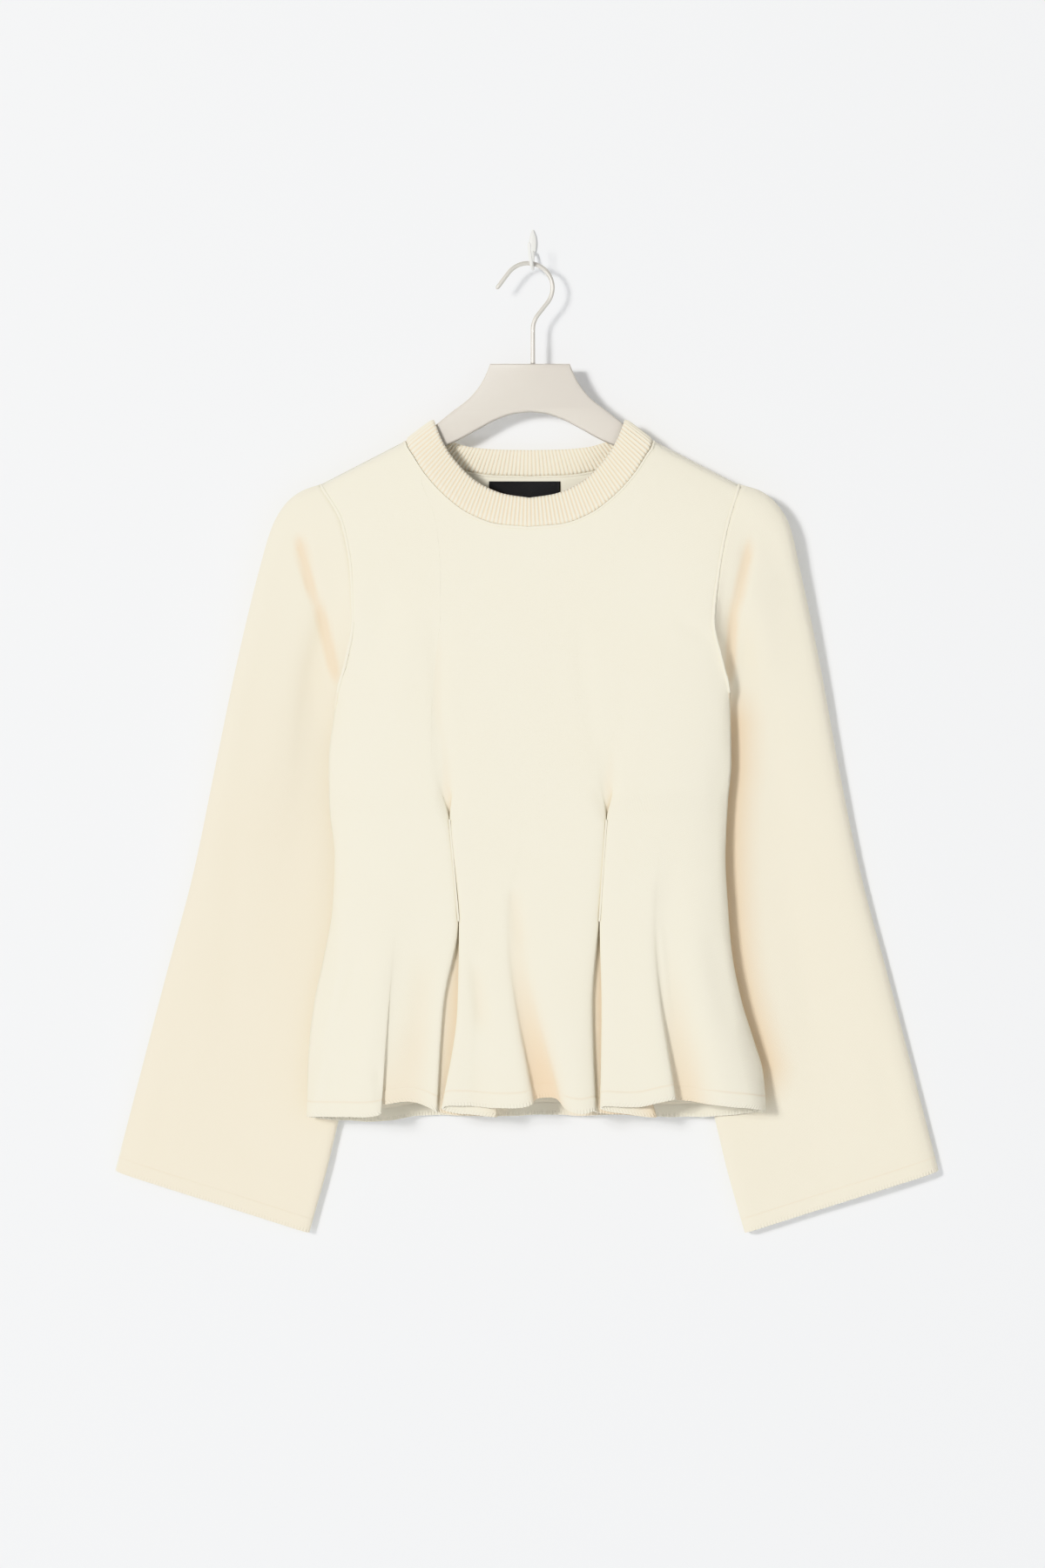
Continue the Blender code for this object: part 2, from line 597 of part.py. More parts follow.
def neckband_mesh():
    """Closed band: ribs raised in its outer points, plain inside."""
    seam, edge = neck_loops()
    outward = loop_normals(seam, edge)
    rib = np.where(np.arange(len(seam)) % 2 == 0, RIB_HEIGHT, 0.0)[:, None]
    middle = (seam + edge) / 2
    half = BAND_WALL / 2
    rings = [seam + outward * half, middle + outward * (half + rib), edge + outward * half,
             edge - outward * half, seam - outward * half]
    rings[0] += outward * rib * 0.6
    rings[2] += outward * rib * 0.6
    count = len(seam)
    vertices = np.vstack(rings)
    faces = []
    for ring in range(len(rings)):
        after = (ring + 1) % len(rings)
        for place in range(count):
            following = (place + 1) % count
            faces.append((ring * count + place, after * count + place,
                          after * count + following, ring * count + following))
    return vertices, faces


def grid_faces(rows, columns, closed):
    """Four-sided faces of a grid of points, wound to face away from the body's inside."""
    faces = []
    for row in range(rows - 1):
        for place in range(columns if closed else columns - 1):
            following = (place + 1) % columns
            low, high = row * columns, (row + 1) * columns
            faces.append((low + place, low + following, high + following, high + place))
    return faces


def add_material(obj, name, colour, roughness, metallic=0.0):
    """Give an object its own Principled material."""
    material = bpy.data.materials.new(name)
    material.use_nodes = True
    shader = material.node_tree.nodes["Principled BSDF"]
    shader.inputs["Base Color"].default_value = (*colour, 1.0)
    shader.inputs["Roughness"].default_value = roughness
    shader.inputs["Metallic"].default_value = metallic
    obj.data.materials.append(material)


def add_mesh(name, vertices, faces, collection):
    """Mesh object from points in millimetres, shaded smooth."""
    mesh = bpy.data.meshes.new(name)
    mesh.from_pydata((np.asarray(vertices).reshape(-1, 3) * MM).tolist(), [], faces)
    mesh.shade_smooth()
    obj = bpy.data.objects.new(name, mesh)
    collection.objects.link(obj)
    return obj


def add_cloth(name, grid, closed, collection, colour):
    """Cloth wall over a grid of points, half of it to each side."""
    rows, columns = grid.shape[:2]
    obj = add_mesh(name, grid, grid_faces(rows, columns, closed), collection)
    wall = obj.modifiers.new("wall", "SOLIDIFY")
    wall.thickness = WALL * MM
    wall.offset = 0.0
    add_material(obj, name + " knit", colour, 0.9)
    return obj


def add_neckband(collection):
    """Ribbed neckband."""
    vertices, faces = neckband_mesh()
    obj = add_mesh("neckband", vertices, faces, collection)
    add_material(obj, "neckband rib", COLOURS["rib"], 0.9)


def add_label(collection):
    """Plain label inside the back, made from the back's own depth and moved off it."""
    width, height = LABEL_SIZE
    xs = np.linspace(LABEL_MIDDLE_X - width / 2, LABEL_MIDDLE_X + width / 2, 7)
    zs = np.linspace(LABEL_TOP_Z - height, LABEL_TOP_Z, 3)
    x, z = np.meshgrid(xs, zs)
    off = WALL / 2 + LABEL_GAP + LABEL_THICK / 2
    depth = back_depth(across_share(x, z), x, z) + off
    grid = np.stack([x, -depth, z], axis=-1)
    obj = add_mesh("neck_label", grid, grid_faces(3, 7, False), collection)
    wall = obj.modifiers.new("wall", "SOLIDIFY")
    wall.thickness = LABEL_THICK * MM
    wall.offset = 0.0
    add_material(obj, "label weave", COLOURS["label"], 0.8)


def across_share(x, z):
    """Share of the body's width at a place across it."""
    left, right = body_edges(z)
    return (x - left) / (right - left)


def arc_points(middle, radius, start, end, count):
    """Points along an arc in the plane of the hanger, angles in degrees."""
    angles = np.radians(np.linspace(start, end, count))
    return [(middle[0] + radius * math.cos(a), middle[1] + radius * math.sin(a)) for a in angles]


def hook_path():
    """Centre line of the hanger hook, tip to foot, across and height."""
    arc = arc_points(HOOK_MIDDLE, HOOK_RADIUS, HOOK_TIP_ANGLE, HOOK_FOOT_ANGLE, 22)
    tip_run = math.radians(HOOK_TIP_ANGLE + 90)
    tip = (arc[0][0] + HOOK_TIP_LENGTH * math.cos(tip_run),
           arc[0][1] + HOOK_TIP_LENGTH * math.sin(tip_run))
    foot_x, foot_z = arc[-1]
    lean = math.radians(-HOOK_FOOT_ANGLE)
    straight = ((foot_x - HOOK_BEND_RADIUS * (1 - math.cos(lean))) / math.sin(lean))
    bend_x = foot_x - straight * math.sin(lean)
    bend_z = foot_z - straight * math.cos(lean)
    bend = [(HOOK_BEND_RADIUS * (1 - math.cos(angle)), bend_z - HOOK_BEND_RADIUS
             * (math.sin(lean) - math.sin(angle))) for angle in np.linspace(lean, 0, 6)]
    foot = (0.0, HANGER_TOP[0][1] + 0.3)
    return [tip] + arc + bend + [foot]


def add_wire(name, points, diameter, collection):
    """Round wire along points in millimetres, its ends filled."""
    data = bpy.data.curves.new(name, "CURVE")
    data.dimensions = "3D"
    data.bevel_depth = diameter / 2 * MM
    data.bevel_resolution = 2
    data.use_fill_caps = True
    spline = data.splines.new("POLY")
    spline.points.add(len(points) - 1)
    for point, place in zip(spline.points, points):
        point.co = (*(value * MM for value in place), 1.0)
    obj = bpy.data.objects.new(name, data)
    collection.objects.link(obj)
    return obj


def add_plate(name, outline, thick, edge, collection):
    """Flat board with rounded edges from an outline in its plane, its back at depth 0."""
    data = bpy.data.curves.new(name, "CURVE")
    data.dimensions = "2D"
    data.fill_mode = "BOTH"
    data.extrude = (thick / 2 - edge) * MM
    data.bevel_depth = edge * MM
    data.bevel_resolution = 1
    data.offset = -edge * MM
    spline = data.splines.new("POLY")
    spline.points.add(len(outline) - 1)
    for point, (x, z) in zip(spline.points, outline):
        point.co = (x * MM, z * MM, 0.0, 1.0)
    spline.use_cyclic_u = True
    obj = bpy.data.objects.new(name, data)
    obj.rotation_euler = (math.radians(90), 0.0, 0.0)
    collection.objects.link(obj)
    return obj


def hanger_outline():
    """Whole outline of the hanger, its curved runs smoothed between the table's points."""
    half = []
    for run in (HANGER_TOP[1:], HANGER_UNDERSIDE):
        points = np.array([(x, z, 0.0) for x, z in run])
        half += [(x, z) for x, z, _ in half_loop(points, 26)]
    return half + [(-x, z) for x, z in half[-2::-1]]


def add_hanger(collection):
    """Flat hanger and its hook."""
    board = add_plate("hanger_body", hanger_outline(), HANGER_THICK, HANGER_EDGE, collection)
    board.location = (HANGER_MIDDLE_X * MM, -HANGER_DEPTH * MM, 0.0)
    add_material(board, "hanger finish", COLOURS["hanger"], 0.45)
    path = [(x, -HANGER_DEPTH, z) for x, z in hook_path()]
    wire = add_wire("hanger_hook", path, HOOK_WIRE, collection)
    add_material(wire, "hook finish", COLOURS["wire"], 0.35, 0.3)


def add_wall_hook(collection):
    """Leaf-shaped plate flat on the wall, and the prong in front of it."""
    count = 14
    heights = np.linspace(PLATE_TOP_Z, PLATE_BOTTOM_Z, count)
    middle = (PLATE_TOP_Z + PLATE_BOTTOM_Z) / 2
    reach = (PLATE_TOP_Z - PLATE_BOTTOM_Z) / 2
    widths = PLATE_HALF_WIDTH * (1.0 - ((heights - middle) / reach) ** 2) ** 0.8
    right = [(float(w), float(z)) for w, z in zip(widths, heights)]
    outline = right + [(-x, z) for x, z in right[-2:0:-1]]
    plate = add_plate("wall_plate", outline, PLATE_THICK, 0.0, collection)
    plate.location = (0.0, -PLATE_THICK / 2 * MM, 0.0)
    add_material(plate, "wall plate finish", COLOURS["wall hook"], 0.4)
    seat_z = HOOK_MIDDLE[1] + HOOK_RADIUS - (HOOK_WIRE + PRONG_WIRE) / 2 - HOOK_SEAT_GAP
    run = PLATE_THICK + 0.3
    stem = [(0.0, -run, -8.0), (0.0, -run - 4.0, -8.6), (0.0, -run - 9.0, seat_z + 8.0),
            (0.0, -run - 14.0, seat_z + 2.2), (0.0, -run - 18.0, seat_z + 0.3),
            (-0.2, -HANGER_DEPTH, seat_z), (-0.8, -HANGER_DEPTH - 5.0, seat_z + 1.6),
            (-1.8, -HANGER_DEPTH - 8.6, seat_z + 6.0), (-2.6, -HANGER_DEPTH - 10.0, seat_z + 12.0),
            (-3.2, -HANGER_DEPTH - 10.6, seat_z + 21.0)]
    prong = add_wire("wall_prong", half_loop(stem, 22).tolist(), PRONG_WIRE, collection)
    add_material(prong, "wall prong finish", COLOURS["wall hook"], 0.4)


def build():
    """The whole part, in a collection of its own."""
    for obj in list(bpy.data.objects):
        bpy.data.objects.remove(obj)
    collection = bpy.data.collections.new("peplum_top_on_hanger")
    bpy.context.scene.collection.children.link(collection)
    add_cloth("front_panel", front_grid(), False, collection, COLOURS["knit"])
    add_cloth("back_panel", back_grid()[:, ::-1], False, collection, COLOURS["knit"])
    add_cloth("sleeve_left", sleeve_grid(False), True, collection, COLOURS["knit"])
    add_cloth("sleeve_right", sleeve_grid(True)[:, ::-1], True, collection, COLOURS["knit"])
    add_neckband(collection)
    add_label(collection)
    add_hanger(collection)
    add_wall_hook(collection)


build()
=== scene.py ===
"""Looks of the peplum top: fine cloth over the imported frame, its ribs, seams, label, hanger and
wall hook, and a plain studio stage. Tables are in millimetres, meshes in metres. A depth is a
distance in front of the wall, so a point at depth d lies at Y = -d."""
import math

import bmesh
import bpy
import numpy as np
from bpy.props import FloatProperty, FloatVectorProperty, IntProperty, PointerProperty
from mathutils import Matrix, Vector


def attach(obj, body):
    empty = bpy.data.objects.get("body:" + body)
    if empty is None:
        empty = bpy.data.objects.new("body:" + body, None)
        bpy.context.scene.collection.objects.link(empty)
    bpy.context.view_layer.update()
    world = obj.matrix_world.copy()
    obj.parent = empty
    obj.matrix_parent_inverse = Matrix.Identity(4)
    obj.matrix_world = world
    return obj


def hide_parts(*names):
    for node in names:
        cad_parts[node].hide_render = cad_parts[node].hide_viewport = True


bl_info = {
    "name": "Peplum Top",
    "version": (1, 0, 0),
    "blender": (4, 5, 0),
    "location": "3D View > Sidebar > Peplum Top",
    "description": "Builds a knitted peplum top on its hanger",
    "category": "Object",
}

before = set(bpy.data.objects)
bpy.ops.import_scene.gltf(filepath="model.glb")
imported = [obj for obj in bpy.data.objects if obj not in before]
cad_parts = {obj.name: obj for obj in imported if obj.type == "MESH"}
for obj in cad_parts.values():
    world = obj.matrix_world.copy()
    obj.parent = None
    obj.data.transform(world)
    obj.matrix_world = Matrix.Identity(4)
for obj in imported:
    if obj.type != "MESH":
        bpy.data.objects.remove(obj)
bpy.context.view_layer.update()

MM = 0.001

# Cloth
WALL = 1.8
SEAM_GAP = 0.3
NECK_GAP = 0.3
ARMHOLE_GAP = 1.0

# Where the shoulders lie over the hanger
NECK_MIDDLE_X = -3.0
NECK_POINT = 104.0
NECK_POINT_Z = -170.0
SHOULDER_SLOPE = 0.515
HANGER_DEPTH = 26.0
SHOULDER_ROUND = 8.0
SHOULDER_SETTLE = 30.0

# Levels of the body, from the hem up
HEM_Z = -735.0
WAIST_Z = -572.0
TUCK_TOP_Z = -486.0
DIMPLE_Z = -447.0
DIMPLE_SHARE = 0.4
PLEAT_WIDE_Z = -642.0
CHEST_Z = -385.0
PLAIN_Z = -320.0
UNDERARM_Z = -391.0
TOP_EDGE_PASSES = 24
FRONT_SQUARENESS = 4.0
BACK_SQUARENESS = 2.5

# Outline of the body seen from the front: height, left edge, right edge
BODY_OUTLINE = (
    (-745.0, -189.0, 196.0),
    (-700.0, -188.5, 192.5),
    (-672.0, -187.0, 184.5),
    (-640.0, -183.0, 174.5),
    (-600.0, -174.5, 166.5),
    (-560.0, -167.5, 163.0),
    (-520.0, -165.5, 161.0),
    (-474.0, -170.5, 163.0),
    (-440.0, -171.0, 166.0),
    (-391.0, -165.0, 165.0),
    (-377.0, -162.5, 163.5),
    (-354.0, -156.0, 157.5),
    (-320.0, -150.0, 150.5),
    (-281.0, -151.5, 154.5),
    (-239.0, -159.0, 162.5),
    (-206.0, -178.0, 173.0),
)

# Depth of the front: height, at its middle, at its side edge
FRONT_DEPTHS = (
    (-745.0, 61.0, 30.0),
    (-640.0, 55.0, 29.0),
    (-572.0, 51.0, 28.0),
    (-486.0, 49.0, 27.5),
    (-392.0, 47.0, 27.5),
    (-377.0, 46.5, 32.0),
    (-354.0, 46.0, 38.0),
    (-320.0, 46.0, 41.0),
    (-281.0, 46.5, 42.0),
    (-200.0, 46.5, 41.0),
)

# Depth of the back: height, at its middle, at its side edge
BACK_DEPTHS = (
    (-745.0, 9.0, 28.0),
    (-640.0, 9.0, 27.0),
    (-572.0, 10.0, 26.0),
    (-486.0, 10.0, 25.5),
    (-392.0, 9.5, 25.5),
    (-377.0, 9.5, 21.0),
    (-354.0, 9.5, 14.0),
    (-320.0, 9.0, 11.5),
    (-281.0, 9.0, 11.0),
    (-200.0, 9.0, 11.5),
)

# Neck seam, half of the loop from the middle front over the shoulder to the middle back:
# distance from the neck's middle line, height
NECK_SEAM_FRONT = ((0.0, -243.0), (26.0, -240.8), (49.5, -232.6), (71.5, -216.5), (88.5, -197.5),
                   (98.0, -182.5), (102.6, -175.0), (104.0, -170.0))
NECK_SEAM_BACK = ((0.0, -198.0), (30.0, -197.2), (55.0, -193.5), (76.0, -187.0), (93.0, -179.5),
                  (102.0, -174.2), (104.0, -170.0))

# Top edge of the neckband, the same half loop: distance, depth, height
NECK_EDGE = (
    (0.0, 39.0, -218.0),
    (20.0, 38.8, -215.0),
    (43.0, 38.0, -205.0),
    (58.0, 37.0, -191.5),
    (70.0, 36.0, -175.5),
    (76.0, 35.6, -163.0),
    (79.0, 33.4, -155.0),
    (80.0, 26.0, -152.0),
    (79.0, 18.6, -155.0),
    (76.0, 16.4, -162.0),
    (66.0, 15.4, -168.5),
    (48.0, 14.4, -173.6),
    (25.0, 13.6, -175.4),
    (0.0, 13.4, -175.8),
)
NECKBAND_RIBS = 146
BAND_WALL = 1.8

# The six folds across one released pleat, from its open edge under and back to its top edge:
# share of the chest width from the pleat's line, then distance across from the line and depth
# behind the front, at the dimple, at the top of the stitching, at its foot, where the pleat is
# widest (there the distance counts in half widths of the pleat) and at the hem
PLEAT_FOLDS = (
    ("open edge", -0.034, -12.0, 1.2, -1.25, 0.2, -1.25, 0.2, -1.15, 1.5, -3.4, 3.0),
    ("open edge turned in", -0.018, -6.0, 2.8, -0.95, 7.0, -1.0, 9.5, -1.1, 11.5, -3.0, 13.0),
    ("far fold, back", -0.006, -2.0, 3.6, 8.0, 8.5, 14.0, 12.5, 5.4, 13.0, 47.0, 15.0),
    ("far fold, front", 0.006, 2.0, 3.6, 8.0, 4.8, 14.0, 6.5, 5.4, 6.5, 47.0, 7.5),
    ("top edge turned in", 0.018, 6.0, 2.8, 0.95, 4.2, 1.0, 5.5, 1.1, 6.0, 1.3, 6.0),
    ("top edge", 0.034, 12.0, 1.2, 1.25, 0.2, 1.25, 0.2, 1.1, -0.5, 1.0, -1.5),
)
PLEAT_HEM_Z = (-729.0, -732.0, -735.0, -735.0, -730.0, -724.0)
HEM_FLARE = 4.0

# The line of each pleat: at the chest, at the top of the stitching, at its foot, where it is
# widest and at the hem; then half of its width there
PLEAT_LINES = {
    "left": (-74.0, -69.8, -62.0, -68.5, -77.6, 5.8),
    "right": (65.0, 61.5, 55.5, 53.6, 55.4, 4.0),
}

# Soft folds of the front between the pleats and the side seams: share of the chest width,
# then across and depth at the waist and at the hem, and the height of the hem there
LEFT_FOLDS = (
    ("side seam", 0.0, None, None, None, None, -735.0),
    ("side turn", 0.012, -167.0, 36.0, -190.0, 38.0, -735.0),
    ("flank", 0.05, -157.0, 43.5, -182.0, 48.0, -735.0),
    ("flank crease", 0.10, -145.0, 46.5, -169.0, 47.0, -735.0),
    ("left ridge", 0.145, -128.0, 50.0, -150.0, 63.0, -735.0),
    ("small fold, top", 0.18, -118.0, 50.5, -123.0, 64.0, -733.0),
    ("small fold, under", 0.195, -112.0, 50.0, -135.0, 56.0, -727.0),
    ("left hollow", 0.22, -102.0, 49.0, -113.0, 53.0, -722.0),
    ("left hollow end", 0.245, -84.0, 49.5, -96.0, 54.5, -723.0),
)
CENTRE_FOLDS = (
    ("short crease, left", 0.355, -50.0, 51.0, -58.0, 64.5, -724.5),
    ("short crease", 0.395, -43.0, 50.5, -44.0, 61.5, -726.0),
    ("middle ridge, left", 0.435, -34.0, 51.5, -22.0, 67.0, -727.0),
    ("middle hollow, left edge", 0.475, -24.0, 51.5, 2.0, 66.0, -725.0),
    ("middle hollow, left floor", 0.495, -19.0, 49.5, 2.0, 52.0, -720.0),
    ("middle hollow, right floor", 0.52, -11.0, 49.5, 25.0, 51.5, -718.0),
    ("middle hollow, right edge", 0.545, -3.0, 51.5, 28.0, 64.0, -729.0),
    ("middle ridge, right", 0.595, 22.0, 52.0, 41.0, 66.0, -732.0),
)
RIGHT_FOLDS = (
    ("right front", 0.755, 76.0, 51.5, 82.0, 66.0, -727.0),
    ("right ridge", 0.80, 91.0, 52.0, 110.0, 69.0, -721.0),
    ("right fold edge", 0.83, 99.0, 51.5, 122.0, 66.0, -719.0),
    ("right hollow, left floor", 0.845, 103.0, 48.5, 117.0, 51.0, -721.0),
    ("right hollow, right floor", 0.875, 113.0, 47.0, 137.0, 49.0, -722.5),
    ("right flank", 0.915, 131.0, 48.5, 156.0, 61.0, -725.0),
    ("right flank, outer", 0.955, 148.0, 44.5, 182.0, 56.0, -728.0),
    ("side turn", 0.988, 162.0, 36.0, 196.5, 41.0, -731.0),
    ("side seam", 1.0, None, None, None, None, -731.0),
)

# Soft folds of the back: share of the width, depth at the waist and at the hem, hem height
BACK_FOLDS = (
    ("side seam", 0.0, None, None, -737.0),
    ("side turn", 0.015, 20.0, 20.5, -738.0),
    ("left flank", 0.07, 17.0, 18.0, -741.0),
    ("left wave", 0.16, 12.0, 19.5, -742.0),
    ("left hollow", 0.24, 8.5, 8.0, -737.5),
    ("left tuck", 0.30, 9.5, 6.5, -736.5),
    ("left middle wave", 0.38, 10.5, 17.5, -738.0),
    ("middle hollow", 0.50, 9.5, 7.0, -736.5),
    ("right middle wave", 0.61, 10.5, 18.0, -737.0),
    ("right tuck", 0.70, 9.5, 6.5, -736.0),
    ("right hollow", 0.77, 8.5, 8.0, -738.5),
    ("right wave", 0.85, 12.0, 19.0, -738.0),
    ("right flank", 0.93, 17.0, 18.5, -736.0),
    ("side turn", 0.985, 20.0, 20.5, -734.0),
    ("side seam", 1.0, None, None, -733.0),
)

# Rows of the body cloth: fine through the hem, then even up to the chest, then shares of the
# way from there up to the top edge
HEM_ROWS = np.arange(HEM_Z, HEM_Z + 16.0, 0.9)
FRONT_ROWS = 104
BACK_ROWS = 70
LEVEL_ROWS = (-719.0, -400.0)
UPPER_SHARES = np.linspace(0.0, 1.0, 63)[1:]
LEVEL_ABOVE = 150.0
SPAN_SAMPLES = 6
BACK_SPAN_SAMPLES = 12
CUFF_ROWS = 19
CUFF_FINE = 16.0
SLEEVE_ROWS = 130

# Rings of a sleeve, shoulder side to cuff, on the left; the right sleeve mirrors them.
# Outer edge x and z, inner edge x and z, bow towards the body, then the depths of the outer
# edge, the front's outer part, its trough, its inner part, the inner edge and the back
SLEEVE_RINGS = (
    (-192.0, -211.0, -166.5, -397.0, 16.0, 26.0, 38.0, 40.5, 30.0, 21.0, 12.0),
    (-206.0, -221.0, -167.0, -409.0, 11.0, 26.0, 36.5, 38.0, 22.0, 15.0, 8.5),
    (-218.0, -240.0, -166.0, -427.0, 7.0, 24.0, 34.0, 34.0, 16.0, 10.0, 5.5),
    (-229.0, -275.0, -163.0, -462.0, 2.0, 20.0, 30.0, 28.5, 14.0, 7.0, 4.0),
    (-248.0, -352.0, -157.0, -518.0, 0.0, 15.0, 25.5, 21.5, 13.0, 6.5, 3.6),
    (-267.0, -442.0, -154.0, -575.0, 0.0, 12.0, 22.5, 17.5, 13.0, 6.5, 3.6),
    (-285.5, -531.0, -153.0, -635.0, 0.0, 10.0, 20.5, 15.5, 13.0, 6.5, 3.6),
    (-309.0, -619.0, -157.0, -700.0, 0.0, 9.0, 19.0, 14.5, 13.5, 6.5, 3.6),
    (-332.0, -707.0, -171.0, -770.0, 0.0, 8.5, 18.5, 15.5, 14.5, 7.0, 3.6),
    (-352.0, -784.0, -189.0, -836.0, 0.0, 8.0, 17.0, 17.0, 15.0, 8.0, 3.6),
)
# Where the controls of a ring lie between its outer and inner edges, and the depth they take
RING_FRONT = ((0.0, "outer"), (0.02, "front"), (0.2, "front"), (0.42, "trough"), (0.6, "inner"),
              (0.88, "inner"), (0.985, "inner"), (1.0, "edge"))
RING_BACK = ((0.985, "back"), (0.85, "back"), (0.5, "back"), (0.15, "back"), (0.02, "back"))
UNDERARM_LIFT = 9.0
UNDERARM_OPEN = 5.0
TURN_SAMPLES = 4.0
SLEEVE_MIDDLE_X = (-1.5, -5.0)
SLEEVE_DRIFT_RINGS = (2, 5)
SLEEVE_AROUND = 112

# Hanger: half of its outline, top then underside, distance from the middle and height
HANGER_TOP = ((0.0, -104.5), (33.6, -104.5), (36.2, -111.5), (41.0, -121.0), (51.0, -133.4),
              (65.7, -144.9), (82.0, -158.2), (104.0, -177.5), (140.0, -195.0), (175.0, -213.0),
              (192.0, -222.5), (200.0, -231.0))
HANGER_UNDERSIDE = ((200.0, -240.0), (192.0, -243.0), (150.0, -223.0), (104.0, -197.0),
                    (73.0, -174.5), (58.0, -167.4), (42.0, -158.6), (27.0, -150.8),
                    (12.4, -146.2), (0.0, -144.8))
HANGER_MIDDLE_X = -2.5
HANGER_THICK = 9.0
HANGER_EDGE = 2.0
HANGER_SHARP = math.radians(40)

# Hanger hook: a round wire in the plane of the hanger
HOOK_WIRE = 4.0
HOOK_MIDDLE = (-4.1, -40.4)
HOOK_RADIUS = 20.6
HOOK_TIP_ANGLE = 143.0
HOOK_FOOT_ANGLE = -38.0
HOOK_TIP_LENGTH = 17.0
HOOK_BEND_RADIUS = 20.0

# Wall hook: a leaf-shaped plate and a prong that the hanger hangs on
PLATE_TOP_Z = 12.0
PLATE_BOTTOM_Z = -12.0
PLATE_HALF_WIDTH = 3.2
PLATE_THICK = 3.0
PLATE_POINTEDNESS = 1.6
PLATE_AROUND = 72
# Its face: share of the outline, distance in front of the wall
PLATE_STEPS = ((1.0, 0.0), (1.0, 1.4), (0.93, 2.2), (0.78, 2.7), (0.5, 2.95), (0.2, 3.0))
PRONG_WIRE = 3.0
PRONG_SUNK = 0.6
HOOK_SEAT_GAP = 0.8
# Centre line of the prong: across, where its distance out counts from, that distance, where its
# height counts from, that height
PRONG_POINTS = (
    (0.0, "plate", 0.0, "origin", -8.0),
    (0.0, "plate", 4.0, "origin", -8.6),
    (0.0, "plate", 9.0, "seat", 8.0),
    (0.0, "plate", 14.0, "seat", 2.2),
    (0.0, "plate", 18.0, "seat", 0.3),
    (-0.2, "hanger", 0.0, "seat", 0.0),
    (-0.8, "hanger", 5.0, "seat", 1.6),
    (-1.8, "hanger", 8.6, "seat", 6.0),
    (-2.6, "hanger", 10.0, "seat", 12.0),
    (-3.2, "hanger", 10.6, "seat", 21.0),
)
# Shares of the wire's radius at its rounded ends
PRONG_TIP = (1.0, 0.96, 0.85, 0.62, 0.25)
HOOK_TIP = (0.35, 0.75, 0.93, 1.0)

# Label inside the back neck
LABEL_SIZE = (60.0, 18.0)
LABEL_TOP_Z = -202.0
LABEL_MIDDLE_X = -7.0
LABEL_THICK = 0.8
LABEL_GAP = 0.35
LABEL_SAMPLES = (61, 25)
LABEL_RIPPLE = 0.15
LABEL_EDGE = (0.18, 1.1)

# Creases laid on the cloth: its top end and its foot across and up, its half width, and how far
# it stands towards the front (a trough is negative)
FRONT_CREASES = (
    ("chest, left", -116.3, -283.0, -148.3, -406.5, 13.0, -2.4),
    ("chest, left of middle", -72.7, -312.0, -81.4, -428.3, 9.0, -1.4),
    ("chest, left ridge", -97.4, -304.8, -116.3, -421.1, 9.0, 0.9),
    ("chest, left return", -132.3, -268.4, -159.9, -337.5, 9.0, 0.9),
    ("over left tuck", -75.6, -461.0, -83.6, -291.7, 8.0, -1.6),
    ("beside left tuck", -58.2, -461.0, -55.3, -355.7, 9.0, -0.8),
    ("over right tuck", 56.7, -461.0, 34.8, -304.8, 8.0, -1.3),
    ("beside right tuck", 72.6, -461.0, 79.9, -362.9, 9.0, -0.8),
    ("left dimple, near", -80.0, -457.4, -69.1, -493.7, 4.5, -2.0),
    ("left dimple, far", -59.6, -459.6, -69.1, -493.7, 4.5, -1.6),
    ("right dimple, near", 52.3, -457.4, 61.7, -490.8, 4.5, -1.8),
    ("right dimple, far", 71.9, -458.9, 61.7, -490.8, 4.5, -1.5),
    ("short crease", -51.6, -589.7, -40.7, -672.5, 6.0, -2.4),
    ("left ridge", -122.1, -565.0, -146.1, -724.9, 9.0, 2.0),
    ("left hollow", -87.3, -588.2, -100.3, -711.8, 10.0, -2.2),
    ("flank crease", -139.6, -591.9, -184.6, -708.1, 6.5, -2.6),
    ("small fold", -129.4, -684.2, -126.5, -735.0, 4.0, -2.4),
    ("middle hollow, top", -20.4, -533.7, -7.3, -602.8, 6.0, -1.5),
    ("right ridge line", 104.6, -563.5, 115.5, -668.2, 2.4, 0.9),
    ("right flank", 145.3, -566.4, 165.7, -675.4, 9.0, -1.8),
    ("waist left", -154.1, -519.2, -103.2, -559.1, 10.0, -0.9),
    ("waist middle", -37.8, -501.0, 27.6, -530.1, 12.0, -0.8),
    ("waist right", 151.1, -530.1, 100.3, -559.1, 10.0, -0.9),
    ("armhole pull, left", -148.3, -342.6, -103.2, -312.0, 7.0, -0.9),
    ("armhole pull, right", 152.6, -341.1, 116.2, -315.0, 7.0, -0.9),
    ("side, left", -159.9, -406.5, -155.6, -501.0, 8.0, -1.0),
    ("side, right", 156.9, -421.1, 152.6, -511.9, 8.0, -1.0),
)
# The back's, where a trough is positive
BACK_CREASES = (
    ("over left tuck", -76.4, -457.4, -82.3, -310.3, 9.0, 1.2),
    ("over right tuck", 57.4, -457.4, 41.2, -310.3, 9.0, 1.2),
    ("left wave", -126.4, -575.1, -148.5, -722.1, 10.0, 1.8),
    ("middle wave", -8.8, -560.4, 5.9, -723.6, 10.0, 1.6),
    ("right wave", 116.3, -567.7, 138.3, -723.6, 10.0, 1.8),
    ("shoulder blade, left", -104.4, -266.2, -126.4, -383.9, 16.0, 0.9),
    ("shoulder blade, right", 90.5, -266.2, 112.6, -383.9, 16.0, 0.9),
)
